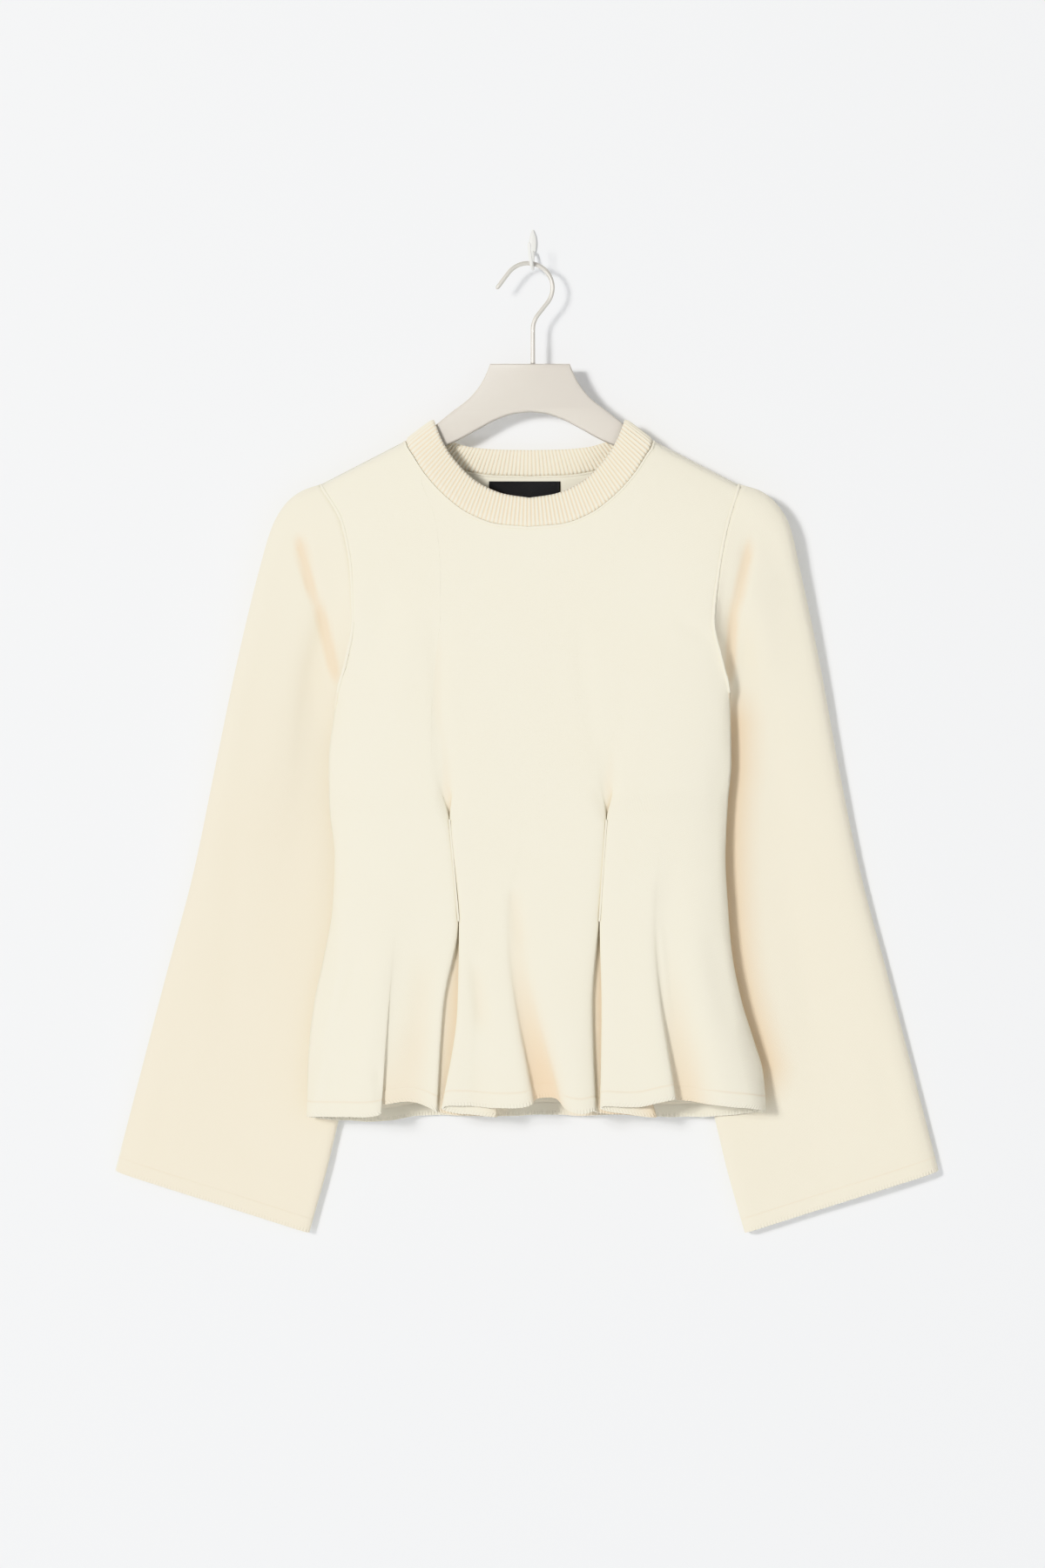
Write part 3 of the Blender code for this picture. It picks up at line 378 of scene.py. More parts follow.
# The sleeves' fronts
LEFT_SLEEVE_CREASES = (
    ("armpit", -198.6, -242.0, -181.7, -310.8, 4.6, -4.0),
    ("armpit, low", -184.6, -290.3, -161.2, -384.1, 5.4, -3.4),
    ("armpit, lip", -187.6, -246.4, -170.0, -310.8, 4.6, 1.6),
    ("long trough", -225.7, -325.5, -246.2, -466.2, 11.0, -1.6),
    ("long trough, low", -244.7, -450.1, -263.8, -699.2, 11.0, -1.4),
    ("shoulder pull", -190.5, -231.7, -219.8, -303.5, 9.0, -0.8),
    ("cuff slack", -272.6, -743.2, -206.6, -779.8, 9.0, -0.9),
    ("forearm", -298.2, -662.6, -316.5, -765.2, 10.0, -0.8),
)
RIGHT_SLEEVE_CREASES = (
    ("armpit", 183.2, -244.9, 168.6, -319.6, 4.6, -3.4),
    ("armpit, low", 169.3, -296.2, 164.2, -384.1, 4.6, -3.8),
    ("long trough", 190.6, -332.8, 212.5, -516.0, 11.0, -1.6),
    ("long trough, low", 208.1, -494.0, 241.9, -706.5, 11.0, -1.4),
    ("shoulder pull", 189.1, -234.6, 216.9, -303.5, 9.0, -0.8),
    ("cuff slack", 255.0, -750.5, 189.1, -787.2, 9.0, -0.9),
    ("forearm", 288.0, -662.6, 307.8, -765.2, 10.0, -0.8),
)

# Painted shade in the folds, a warm darkening the deeper a point lies: columns looked at to each
# side, depth where it starts, the depth over which it grows, passes of softening, its full share
FOLD_REACH = 20
FOLD_START = 1.2
FOLD_RANGE = 10.0
FOLD_SOFTENING = 6
FOLD_SHADE_STRENGTH = 0.8

# Painted shade on the sleeves, left then right: broad below the shoulder, beside the body where
# its shadow falls, in the creases of the armpit and in the long trough
SLEEVE_SHADE = (0.2, 0.1)
SHADE_FROM_Z = -150.0
SHADE_RUN = 350.0
BESIDE_BODY_SHADE = (0.12, 0.85)
BESIDE_BODY = 22.0
BESIDE_TOP_Z = UNDERARM_Z + 25.0
BESIDE_EASE = 40.0
CREASE_SHADE = 0.55
CREASE_DEPTH = 4.0
TROUGH_SHADE = 0.5
SLEEVE_FOLD_RANGE = 6.0
SLEEVE_FACE = 4.0

# Hem: how far its band and its line stand up, the softness of the band's end, the line's half
# width, and the painted shade in the groove above it
HEM_LINE = 11.2
HEM_RAISE = 0.45
HEM_STEP = 0.35
HEM_RIDGE = 0.7
HEM_GROOVE_ABOVE = 0.9
HEM_GROOVE_SHADE = 0.28
# Unevenness of its edge: height, length over which it turns, start; and how high it reaches
EDGE_WAVES = ((0.45, 9.0, 0.0), (0.30, 4.1, 1.3), (0.20, 23.0, 0.6))
EDGE_WAVER = 0.6
WAVER_HEIGHT = 30.0

# Neckband: samples of a rib, rows of a face, and the rib's own form
RIB_SAMPLES = 8
BAND_ROWS = 12
RIB_RISE = 1.4
RIB_FULLNESS = 0.55
RIB_BACK = 0.7
# Painted shade in the grooves between the ribs
RIB_GROOVE_SHADE = 0.62
BAND_CORE = BAND_WALL / 2 - 0.35
BAND_CROWN = 0.3
BAND_SHARES = (0.03, 1.0)
BAND_FADES = (0.06, 0.05)
BAND_V = (10.0, 37.0)

# Rolls of the seams: radius, and how far each lies off the cloth
ROLL_SIDES = 8
ROLL_BEAT = (0.10, 3.4)
NECK_ROLL = 1.1
NECK_ROLL_OUT = 0.45
NECK_ROLL_UNDER = 0.02
NECK_ROLL_SAMPLES = 600
ARMHOLE_ROLL = 1.4
ARMHOLE_ROLL_OUT = 0.7
ARMHOLE_SAMPLES = 70
TUCK_ROLL = 0.75
TUCK_ROLL_SUNK = 0.2
TUCK_SAMPLES = 60

# Stitches in metres: width and height of one, width of one along the neckband's ribs; then in
# millimetres the cast-off edge's height and the width of its loops
WALE = 0.0014
COURSE = 0.0011
RIB_WALE = 0.0034
EDGE_STITCH = 3.2
EDGE_PITCH = 2.6
# How far a stitch's legs lean, and the heights of its loops, cast-off edge and yarn beside them
STITCH_LEAN = 1.4
LOOP_HEIGHT = 0.35
EDGE_HEIGHT = 2.5
YARN_HEIGHT = 0.9
ROUGHNESS_RANGE = 0.16

# Camera: its place across and up, the plane that its distance is counted from, and the scale
# of the picture in that plane
CAMERA_SENSOR = 36.0
CAMERA_X = -8.76
CAMERA_Z = -457.4
CAMERA_PLANE_Y = -35.0
PHOTO_HEIGHT = 1800
MM_PER_PIXEL = 0.73

# Room in metres: the wall stands just behind the wall hook
WALL_BEHIND = 0.0006
ROOM_FLOOR_Z = -1.6
ROOM_TOP_Z = 2.4
ROOM_REACH = 4.0
LIT_PLACE = (0.0, -0.03, -0.46)
# Lights: name, place, size, share of the key's watts, colour
LIGHTS = (
    ("key", (-2.35, -4.5, 0.4), 0.9, 1.0, (1.0, 0.99, 0.97)),
    ("fill", (2.6, -4.2, -0.2), 2.6, 0.14, (0.99, 0.995, 1.0)),
    ("rear", (0.6, 2.6, 0.6), 2.0, 0.1, (1.0, 1.0, 1.0)),
)
SIDES = ((False, "left"), (True, "right"))


def ease_through(stations, values, at):
    """Smooth curve through rising stations that never swings past a value (monotone cubic)."""
    stations = np.asarray(stations, float)
    values = np.asarray(values, float)
    at = np.clip(np.asarray(at, float), stations[0], stations[-1])
    steps = np.diff(stations)
    slopes = np.diff(values) / steps
    tangents = np.empty_like(values)
    tangents[0], tangents[-1] = slopes[0], slopes[-1]
    product = slopes[:-1] * slopes[1:]
    total = np.where(product > 0, slopes[:-1] + slopes[1:], 1.0)
    tangents[1:-1] = np.where(product > 0, 2.0 * product / total, 0.0)
    place = np.clip(np.searchsorted(stations, at, side="right") - 1, 0, len(steps) - 1)
    step = steps[place]
    t = (at - stations[place]) / step
    rise = 3 * t ** 2 - 2 * t ** 3
    return (values[place] * (1 - rise) + values[place + 1] * rise
            + step * (tangents[place] * (t ** 3 - 2 * t ** 2 + t)
                      + tangents[place + 1] * (t ** 3 - t ** 2)))


def column(table, index):
    """One column of a table, as an array."""
    return np.array([row[index] for row in table], float)


def eased(table, index, at):
    """One column of a table, eased through its first column."""
    return ease_through(column(table, 0), column(table, index), at)


def at_depth(x, depth, z):
    """Points at places across, depths in front of the wall and heights."""
    return np.stack([x, -depth, z], axis=-1)


def curve_weights(controls, places):
    """Weights of each control of a quadratic B-spline with clamped ends, at the given places."""
    spans = controls - 2
    knots = np.concatenate([[0.0, 0.0], np.arange(spans + 1), [spans, spans]])
    places = np.clip(np.asarray(places, float), 0.0, spans - 1e-9)[:, None]
    weights = ((places >= knots[:-1]) & (places < knots[1:])).astype(float)
    for degree in (1, 2):
        width = knots[degree:-1] - knots[:-1 - degree]
        right_width = knots[degree + 1:] - knots[1:-degree]
        rising = (places - knots[:-1 - degree]) / np.where(width > 0, width, 1.0)
        falling = (knots[degree + 1:] - places) / np.where(right_width > 0, right_width, 1.0)
        weights = (np.where(width > 0, rising, 0.0) * weights[:, :-1]
                   + np.where(right_width > 0, falling, 0.0) * weights[:, 1:])
    return weights


def body_edges(z):
    """Left and right edge of the body at a height."""
    return eased(BODY_OUTLINE, 1, z), eased(BODY_OUTLINE, 2, z)


def across_body(share, z):
    """Place across the body, from its left edge at share 0 to its right edge at share 1."""
    left, right = body_edges(z)
    return left + (right - left) * share


def shoulder_z(x):
    """Height of the shoulder line over the hanger."""
    return NECK_POINT_Z - SHOULDER_SLOPE * (np.abs(x - NECK_MIDDLE_X) - NECK_POINT)


def over_hanger(x, z):
    """How far the cloth has come round the hanger's top, and how far it has hung out below."""
    drop = np.maximum(shoulder_z(x) - z, 0.0)
    near = np.clip(drop / SHOULDER_ROUND, 0.0, 1.0)
    return np.sqrt(1.0 - (1.0 - near) ** 2), 1.0 - np.exp(-drop / SHOULDER_SETTLE)


def plain_depth(table, squareness, side, share, x, z):
    """Depth of a plain panel, side 1 in front and -1 behind: flat in the middle, eased to its
    sides by a superellipse, and round over the hanger, from where it hangs out."""
    middle, edge = eased(table, 1, z), eased(table, 2, z)
    flat = np.sqrt(np.maximum(1.0 - np.abs(2.0 * share - 1.0) ** squareness, 0.0))
    full = edge + (middle - edge) * flat
    round_top, settled = over_hanger(x, z)
    start, turn = HANGER_DEPTH + side * SEAM_GAP / 2, side * SHOULDER_ROUND
    hung = start + turn * round_top + (full - start - turn) * settled
    return np.where(z > UNDERARM_Z, hung, full)


def front_depth(share, x, z):
    """Depth of the plain front."""
    return plain_depth(FRONT_DEPTHS, FRONT_SQUARENESS, 1.0, share, x, z)


def back_depth(share, x, z):
    """Depth of the plain back, which lies near the wall and comes forward at its sides."""
    return plain_depth(BACK_DEPTHS, BACK_SQUARENESS, -1.0, share, x, z)


def panel_top_z(x, seam):
    """Top edge of a body panel: the shoulder line, and under the neckband its seam."""
    distance = np.abs(x - NECK_MIDDLE_X)
    inside = np.minimum(distance, NECK_POINT)
    slope = eased(seam, 1, inside + 0.5) - eased(seam, 1, inside - 0.5)
    neck = eased(seam, 1, inside) - NECK_GAP * np.sqrt(1.0 + slope ** 2)
    return np.where(distance < NECK_POINT, np.minimum(neck, shoulder_z(x)), shoulder_z(x))


def panel_top(shares, seam):
    """Height of a panel's top edge at each share, settled where the share's column meets it."""
    top_z = np.full(len(shares), NECK_POINT_Z)
    for _ in range(TOP_EDGE_PASSES):
        top_z = (top_z + panel_top_z(across_body(shares, top_z), seam)) / 2
    return top_z


def pleat_controls(side):
    """Controls of one pleat: share, then across and depth at each level, and the hem's height."""
    chest_x, top_x, foot_x, wide_x, hem_x, half_width = PLEAT_LINES[side]
    left, right = body_edges(CHEST_Z)
    line_share = (chest_x - left) / (right - left)
    levels = ((DIMPLE_Z, chest_x + (top_x - chest_x) * DIMPLE_SHARE), (TUCK_TOP_Z, top_x),
              (WAIST_Z, foot_x), (PLEAT_WIDE_Z, wide_x), (HEM_Z, hem_x))
    controls = []
    for (_, share, *offsets), hem_z in zip(PLEAT_FOLDS, PLEAT_HEM_Z):
        places = []
        for (z, line), offset, behind in zip(levels, offsets[0::2], offsets[1::2]):
            depth = float(eased(FRONT_DEPTHS, 1, z))
            if z == HEM_Z:
                depth += HEM_FLARE
            if z == PLEAT_WIDE_Z:
                offset *= half_width
            places.append((z, line + offset, depth - behind))
        controls.append((line_share + share, places[::-1], hem_z))
    return controls


def soft_controls(table):
    """Controls of soft folds: share, then across and depth at the waist and the hem."""
    controls = []
    for _, share, waist_x, waist_depth, hem_x, hem_depth, hem_z in table:
        places = []
        if waist_x is not None:
            places = [(HEM_Z, hem_x, hem_depth), (WAIST_Z, waist_x, waist_depth)]
        controls.append((share, places, hem_z))
    return controls


def front_controls():
    """All controls across the front, from the left side seam to the right one."""
    return (soft_controls(LEFT_FOLDS) + pleat_controls("left") + soft_controls(CENTRE_FOLDS)
            + pleat_controls("right") + soft_controls(RIGHT_FOLDS))


def control_path(share, places, z):
    """Across and depth of one control at the heights z, its folds fading into the plain chest."""
    plain_x = across_body(share, z)
    plain_depth = front_depth(share, plain_x, z)
    if not places:
        return plain_x, plain_depth
    stations = list(places)
    for height in (CHEST_Z, PLAIN_Z):
        if len(places) == 2 and height == CHEST_Z:
            height_x = across_body(share, TUCK_TOP_Z)
            stations.append((TUCK_TOP_Z, height_x,
                             float(front_depth(share, height_x, TUCK_TOP_Z))))
        height_x = across_body(share, height)
        stations.append((height, height_x, float(front_depth(share, height_x, height))))
    heights, xs, depths = (np.array(values, float) for values in zip(*stations))
    folded = z < PLAIN_Z
    return (np.where(folded, ease_through(heights, xs, z), plain_x),
            np.where(folded, ease_through(heights, depths, z), plain_depth))


def row_heights(count, hem_z, top_z):
    """Heights of a panel's rows: level up to the chest, then shared out up to its top edge."""
    lower = np.concatenate([HEM_ROWS, np.linspace(*LEVEL_ROWS, count)])[:, None]
    first, last = lower[0], lower[-1]
    level = last - LEVEL_ABOVE
    sink = np.clip((level - lower) / (level - first), 0.0, 1.0) ** 2
    low = lower + (hem_z - first) * sink
    high = last + (top_z - last) * UPPER_SHARES[:, None]
    return np.vstack([low, high])


def front_grid():
    """Middle surface of the front as a grid of points, rows from the hem up."""
    controls = front_controls()
    spans = len(controls) - 2
    places = np.linspace(0.0, spans, spans * SPAN_SAMPLES + 1)
    weights = curve_weights(len(controls), places)
    shares = weights @ np.array([share for share, _, _ in controls])
    hem_z = weights @ np.array([hem for _, _, hem in controls])
    top_z = panel_top(shares, NECK_SEAM_FRONT)
    z = row_heights(FRONT_ROWS, hem_z, top_z)
    x, depth = np.zeros_like(z), np.zeros_like(z)
    for number, (share, path, _) in enumerate(controls):
        control_x, control_depth = control_path(share, path, z)
        x += weights[:, number] * control_x
        depth += weights[:, number] * control_depth
    upper = z > PLAIN_Z
    plain_x = across_body(shares, z)
    x = np.where(upper, plain_x, x)
    depth = np.where(upper, front_depth(shares, plain_x, z), depth)
    return at_depth(x, depth, z)


def back_grid():
    """Middle surface of the back as a grid of points, rows from the hem up."""
    spans = len(BACK_FOLDS) - 2
    places = np.linspace(0.0, spans, spans * BACK_SPAN_SAMPLES + 1)
    weights = curve_weights(len(BACK_FOLDS), places)
    shares = weights @ column(BACK_FOLDS, 1)
    hem_z = weights @ column(BACK_FOLDS, 4)
    top_z = panel_top(shares, NECK_SEAM_BACK)
    z = row_heights(BACK_ROWS, hem_z, top_z)
    x = across_body(shares, z)
    plain = back_depth(shares, x, z)
    depth = np.zeros_like(z)
    for number, (_, share, waist_depth, hem_depth, _) in enumerate(BACK_FOLDS):
        chest = back_depth(share, across_body(share, CHEST_Z), np.array(CHEST_Z))
        if waist_depth is None:
            path = back_depth(share, across_body(share, z), z)
        else:
            path = ease_through((HEM_Z, WAIST_Z, CHEST_Z), (hem_depth, waist_depth, chest), z)
        depth += weights[:, number] * path
    depth = np.where(z > CHEST_Z, plain, depth)
    return at_depth(x, depth, z)


def sleeve_ring(row):
    """Share from outer to inner edge and depth of the samples round one ring of the sleeve."""
    outer_x, outer_z, inner_x, inner_z, bow, outer, front, trough, inner, edge, back = row
    depths = {"outer": outer, "front": front, "trough": trough, "inner": inner, "edge": edge,
              "back": back}
    controls = [(share, depths[kind]) for share, kind in RING_FRONT + RING_BACK]
    controls.append(controls[0])
    weights = curve_weights(len(controls), np.linspace(0, len(controls) - 2, SLEEVE_AROUND + 1))
    shares, depth = (weights @ np.array(controls)).T
    run = np.array([inner_x - outer_x, inner_z - outer_z])
    square = np.array([-run[1], run[0]]) / np.linalg.norm(run)
    bowed = 4.0 * bow * shares * (1.0 - shares)
    x = outer_x + run[0] * shares + square[0] * bowed
    z = outer_z + run[1] * shares + square[1] * bowed
    return shares[:-1], at_depth(x, depth, z)[:-1]


def armhole_line(shares, mirror, gap):
    """Across and height down an armhole, from the shoulder to the underarm, outside the body."""
    top_z = float(shoulder_z(body_edges(BODY_OUTLINE[-1][0])[0]))
    z = top_z + (UNDERARM_Z + UNDERARM_LIFT - top_z) * shares
    left, right = body_edges(z)
    return (right + gap if mirror else left - gap), z


def armhole_ring(shares, mirror):
    """Ring of the sleeve at the armhole, just outside the edges of the front and the back."""
    x, z = armhole_line(shares, mirror, ARMHOLE_GAP)
    edge_share = 1.0 if mirror else 0.0
    front = np.maximum(front_depth(edge_share, x, z), HANGER_DEPTH + UNDERARM_OPEN)
    back = np.minimum(back_depth(edge_share, x, z), HANGER_DEPTH - UNDERARM_OPEN)
    inner_edge = (len(RING_FRONT) - 1.5) / (len(RING_FRONT) + len(RING_BACK) - 1) * len(shares)
    order = np.arange(len(shares))
    turn = np.minimum(np.minimum(order, len(shares) - order), np.abs(order - inner_edge))
    near = np.clip(turn / TURN_SAMPLES, 0.0, 1.0)
    depth = np.where(order < inner_edge, front, back)
    depth = HANGER_DEPTH + (depth - HANGER_DEPTH) * np.sqrt(1.0 - (1.0 - near) ** 2)
    return at_depth(x, depth, z)


def sleeve_grid(mirror):
    """Middle surface of a sleeve: rings from the armhole to the cuff, closed round."""
    rings = []
    for number, row in enumerate(SLEEVE_RINGS):
        shares, ring = sleeve_ring(row)
        if mirror:
            ring[:, 0] = 2.0 * np.interp(number, SLEEVE_DRIFT_RINGS, SLEEVE_MIDDLE_X) - ring[:, 0]
        rings.append(ring)
    rings.insert(0, armhole_ring(shares, mirror))
    rings = np.array(rings)
    middles = rings.mean(axis=1)
    along = np.concatenate([[0.0], np.cumsum(np.linalg.norm(np.diff(middles, axis=0), axis=1))])
    cuff = along[-1] - CUFF_FINE
    wanted = np.concatenate([np.linspace(0.0, cuff, SLEEVE_ROWS, endpoint=False),
                             np.linspace(cuff, along[-1], CUFF_ROWS)])
    grid = np.empty((len(wanted), SLEEVE_AROUND, 3))
    for place in range(SLEEVE_AROUND):
        for axis in range(3):
            grid[:, place, axis] = ease_through(along, rings[:, place, axis], wanted)
    return grid


def smooth_path(points, count):
    """Smooth run through points, sampled evenly by its length."""
    points = np.array(points, float)
    steps = np.linalg.norm(np.diff(points, axis=0), axis=1)
    along = np.concatenate([[0.0], np.cumsum(steps)])
    wanted = np.linspace(0.0, along[-1], count)
    return np.stack([ease_through(along, points[:, axis], wanted) for axis in range(3)], axis=-1)


def whole_loop(half):
    """Both halves of the neck, from the middle front round by the left."""
    return np.vstack([half * (-1.0, 1.0, 1.0), half[-2:0:-1]]) + (NECK_MIDDLE_X, 0.0, 0.0)


def neck_loops():
    """Seam and top edge of the neckband as two loops of matching points, two for each rib."""
    seam = []
    for distance, z in NECK_SEAM_FRONT:
        x = NECK_MIDDLE_X + distance
        seam.append((distance, -float(front_depth(0.5, x, np.array(z))), z))
    seam[-1] = (NECK_POINT, -HANGER_DEPTH, NECK_POINT_Z)
    for distance, z in NECK_SEAM_BACK[-2::-1]:
        x = NECK_MIDDLE_X + distance
        seam.append((distance, -float(back_depth(0.5, x, np.array(z))), z))
    edge = [(distance, -depth, z) for distance, depth, z in NECK_EDGE]
    count = NECKBAND_RIBS + 1
    return whole_loop(smooth_path(seam, count)), whole_loop(smooth_path(edge, count))


def loop_normals(low, high):
    """Outward directions of the band between two loops."""
    along = np.roll(low, -1, axis=0) - np.roll(low, 1, axis=0)
    normals = np.cross(high - low, along)
    return normals / np.linalg.norm(normals, axis=1)[:, None]


def across_share(x, z):
    """Share of the body's width at a place across it."""
    left, right = body_edges(z)
    return (x - left) / (right - left)


def arc_points(middle, radius, start, end, count):
    """Points along an arc in the plane of the hanger, angles in degrees."""
    angles = np.radians(np.linspace(start, end, count))
    return [(middle[0] + radius * math.cos(a), middle[1] + radius * math.sin(a)) for a in angles]


def hook_path():
    """Centre line of the hanger hook, tip to foot, across and height."""
    arc = arc_points(HOOK_MIDDLE, HOOK_RADIUS, HOOK_TIP_ANGLE, HOOK_FOOT_ANGLE, 60)
    tip_run = math.radians(HOOK_TIP_ANGLE + 90)
    tip = (arc[0][0] + HOOK_TIP_LENGTH * math.cos(tip_run),
           arc[0][1] + HOOK_TIP_LENGTH * math.sin(tip_run))
    foot_x, foot_z = arc[-1]
    lean = math.radians(-HOOK_FOOT_ANGLE)
    straight = ((foot_x - HOOK_BEND_RADIUS * (1 - math.cos(lean))) / math.sin(lean))
    bend_x = foot_x - straight * math.sin(lean)
    bend_z = foot_z - straight * math.cos(lean)
    bend = [(HOOK_BEND_RADIUS * (1 - math.cos(angle)), bend_z - HOOK_BEND_RADIUS
             * (math.sin(lean) - math.sin(angle))) for angle in np.linspace(lean, 0, 6)]
    foot = (0.0, HANGER_TOP[0][1] + 0.3)
    return [tip] + arc + bend + [foot]


def hanger_outline():
    """Whole outline of the hanger, its curved runs smoothed between the table's points."""
    half = []
    for run in (HANGER_TOP[1:], HANGER_UNDERSIDE):
        points = np.array([(x, z, 0.0) for x, z in run])
        half += [(x, z) for x, z, _ in smooth_path(points, 70)]
    return half + [(-x, z) for x, z in half[-2::-1]]


def prong_path():
    """Centre line of the wall hook's prong, from its plate out and up in front of the hanger."""
    seat_z = HOOK_MIDDLE[1] + HOOK_RADIUS - (HOOK_WIRE + PRONG_WIRE) / 2 - HOOK_SEAT_GAP
    starts = {"plate": PLATE_THICK - PRONG_SUNK, "hanger": HANGER_DEPTH}
    levels = {"origin": 0.0, "seat": seat_z}
    return [(x, -starts[start] - out, levels[level] + up)
            for x, start, out, level, up in PRONG_POINTS]


def soft_lines(table, x, z):
    """Depth added by creases: each is a Gaussian across a straight line, eased out at its ends."""
    added = np.zeros_like(x)
    for _, top_x, top_z, foot_x, foot_z, width, depth in table:
        run = np.array([foot_x - top_x, foot_z - top_z])
        length = np.linalg.norm(run)
        run = run / length
        along = ((x - top_x) * run[0] + (z - top_z) * run[1]) / length
        across = (x - top_x) * run[1] - (z - top_z) * run[0]
        ends = np.clip((0.5 - np.abs(along - 0.5)) * 3.0, 0.0, 1.0)
        added += depth * np.exp(-(across / width) ** 2) * ends ** 2 * (3.0 - 2.0 * ends)
    return added


def hem_band(height_above):
    """Extra thickness of a turned or linked hem: full on its band, a soft step at its line."""
    sizes = bpy.context.scene.top_cloth
    line = sizes.hem_height / MM
    step = 1.0 / (1.0 + np.exp((height_above - line) / HEM_STEP))
    ridge = np.exp(-((height_above - line) / HEM_RIDGE) ** 2)
    return HEM_RAISE * (step + ridge)


def painted_hem_shade(height_above):
    """Painted shade, warm and darker, in the thin groove just above the hem's line."""
    line = bpy.context.scene.top_cloth.hem_height / MM + HEM_GROOVE_ABOVE
    return HEM_GROOVE_SHADE * np.exp(-((height_above - line) / HEM_RIDGE) ** 2)


def edge_waver(along):
    """Small unevenness of a knitted edge, a sum of three sines of its length."""
    return sum(rise * np.sin(along / turn + start) for rise, turn, start in EDGE_WAVES)


def valley_depth(depth, reach):
    """How far each point lies behind the higher ground within reach columns on both its sides."""
    columns = np.arange(depth.shape[1])
    sides = []
    for direction in (-1, 1):
        shifts = [np.take(depth, np.clip(columns + direction * step, 0, len(columns) - 1), axis=1)
                  for step in range(0, reach + 1, 2)]
        sides.append(np.max(shifts, axis=0))
    return np.minimum(*sides) - depth


def painted_fold_shade(depth, reach):
    """Share of the warm tone that light takes on between the walls of a fold, 0 to 1."""
    painted_shade = np.clip((valley_depth(depth, reach) - FOLD_START) / FOLD_RANGE, 0.0, 1.0)
    for _ in range(FOLD_SOFTENING):
        painted_shade = (np.roll(painted_shade, 1, axis=1) + 2.0 * painted_shade + np.roll(painted_shade, -1, axis=1)) / 4.0
    return FOLD_SHADE_STRENGTH * painted_shade


def body_cloth(side):
    """Points, metric UV and painted shade of the front or back, dense, with its creases and hem
    band.
    """
    grid, creases, sign = {"front": (front_grid, FRONT_CREASES, 1.0),
                           "back": (back_grid, BACK_CREASES, -1.0)}[side]
    x, y, z = np.moveaxis(grid(), -1, 0)
    above = z - z[0]
    low = np.clip(1.0 - above / WAVER_HEIGHT, 0.0, 1.0)
    z = z + edge_waver(x) * low * EDGE_WAVER
    depth = soft_lines(creases, x, z) - y + sign * hem_band(above)
    step_x = np.hypot(np.diff(x, axis=1), np.diff(depth, axis=1))
    u = np.concatenate([np.zeros((len(x), 1)), np.cumsum(step_x, axis=1)], axis=1)
    u = u - u[:, u.shape[1] // 2][:, None]
    # Painted shade: warm darkening in the hollows of the folds and in the groove over the hem's
    # line
    painted_shade = np.maximum(painted_fold_shade(sign * depth, FOLD_REACH), painted_hem_shade(above))
    return at_depth(x, depth, z), np.stack([u, above], axis=-1), painted_shade


def sleeve_cloth(mirror):
    """Points, metric UV and painted shade of a sleeve, dense, with its creases and its cuff band.
    """
    grid = sleeve_grid(mirror)
    x, depth, z = grid[..., 0], -grid[..., 1], grid[..., 2]
    centre = depth.mean(axis=1, keepdims=True)
    near = np.clip((depth - centre) / SLEEVE_FACE, 0.0, 1.0)
    creases = RIGHT_SLEEVE_CREASES if mirror else LEFT_SLEEVE_CREASES
    depth = depth + near * soft_lines(creases, x, z)
    steps = np.linalg.norm(np.diff(grid, axis=0), axis=2)
    along = np.concatenate([np.zeros((1, x.shape[1])), np.cumsum(steps, axis=0)])
    above = along[-1] - along
    depth = depth + np.where(depth > centre, 1.0, -1.0) * hem_band(above)
    round_steps = np.linalg.norm(grid - np.roll(grid, 1, axis=1), axis=2)
    u = np.cumsum(round_steps, axis=1)
    # Painted shade on the sleeve's front: in its trough, beside the body, in the armpit creases,
    # broad lower down
    trough = np.clip(valley_depth(depth, FOLD_REACH) / SLEEVE_FOLD_RANGE, 0.0, 1.0)
    beside = (np.exp(-((x - body_edges(z)[int(mirror)]) / BESIDE_BODY) ** 2)
              * np.clip((BESIDE_TOP_Z - z) / BESIDE_EASE, 0.0, 1.0)
              * np.clip((z - HEM_Z) / BESIDE_EASE, 0.0, 1.0))
    crease = np.clip(-soft_lines(creases[:2], x, z) / CREASE_DEPTH, 0.0, CREASE_SHADE)
    broad = SLEEVE_SHADE[int(mirror)] * np.clip((SHADE_FROM_Z - z) / SHADE_RUN, 0.0, 1.0)
    shade = np.max([TROUGH_SHADE * trough, crease, beside * BESIDE_BODY_SHADE[int(mirror)], broad],
                   axis=0)
    painted_shade = np.maximum(shade * (depth > centre), painted_hem_shade(above))
    return at_depth(x, depth, z), np.stack([u, above], axis=-1), painted_shade


def neckband_cloth():
    """Points of the neckband: rounded ribs on both faces, a soft crown across its width."""
    sizes = bpy.context.scene.top_cloth
    seam, edge = neck_loops()
    samples = sizes.rib_count * RIB_SAMPLES
    seam, edge = (resample_loop(loop, samples) for loop in (seam, edge))
    outward = loop_normals(seam, edge)
    phase = np.arange(samples) / RIB_SAMPLES * 2.0 * math.pi
    rib = (0.5 + 0.5 * np.cos(phase)) ** RIB_FULLNESS * (sizes.rib_height / MM)
    low, high = BAND_SHARES
    shares = np.linspace(low, high, BAND_ROWS)
    outer, inner = [], []
    for share in shares:
        fade = (min(1.0, (share - low) / BAND_FADES[0])
                * min(1.0, (high - share) / BAND_FADES[1] + 0.25))
        middle = seam + (edge - seam) * share + outward * BAND_CROWN * math.sin(math.pi * share)
        outer.append(middle + outward * (BAND_CORE + rib * fade)[:, None])
        behind = BAND_CORE + RIB_BACK * (rib.max() - rib) * fade
        inner.append(middle - outward * behind[:, None])
    return np.stack(outer + inner[::-1], axis=0)


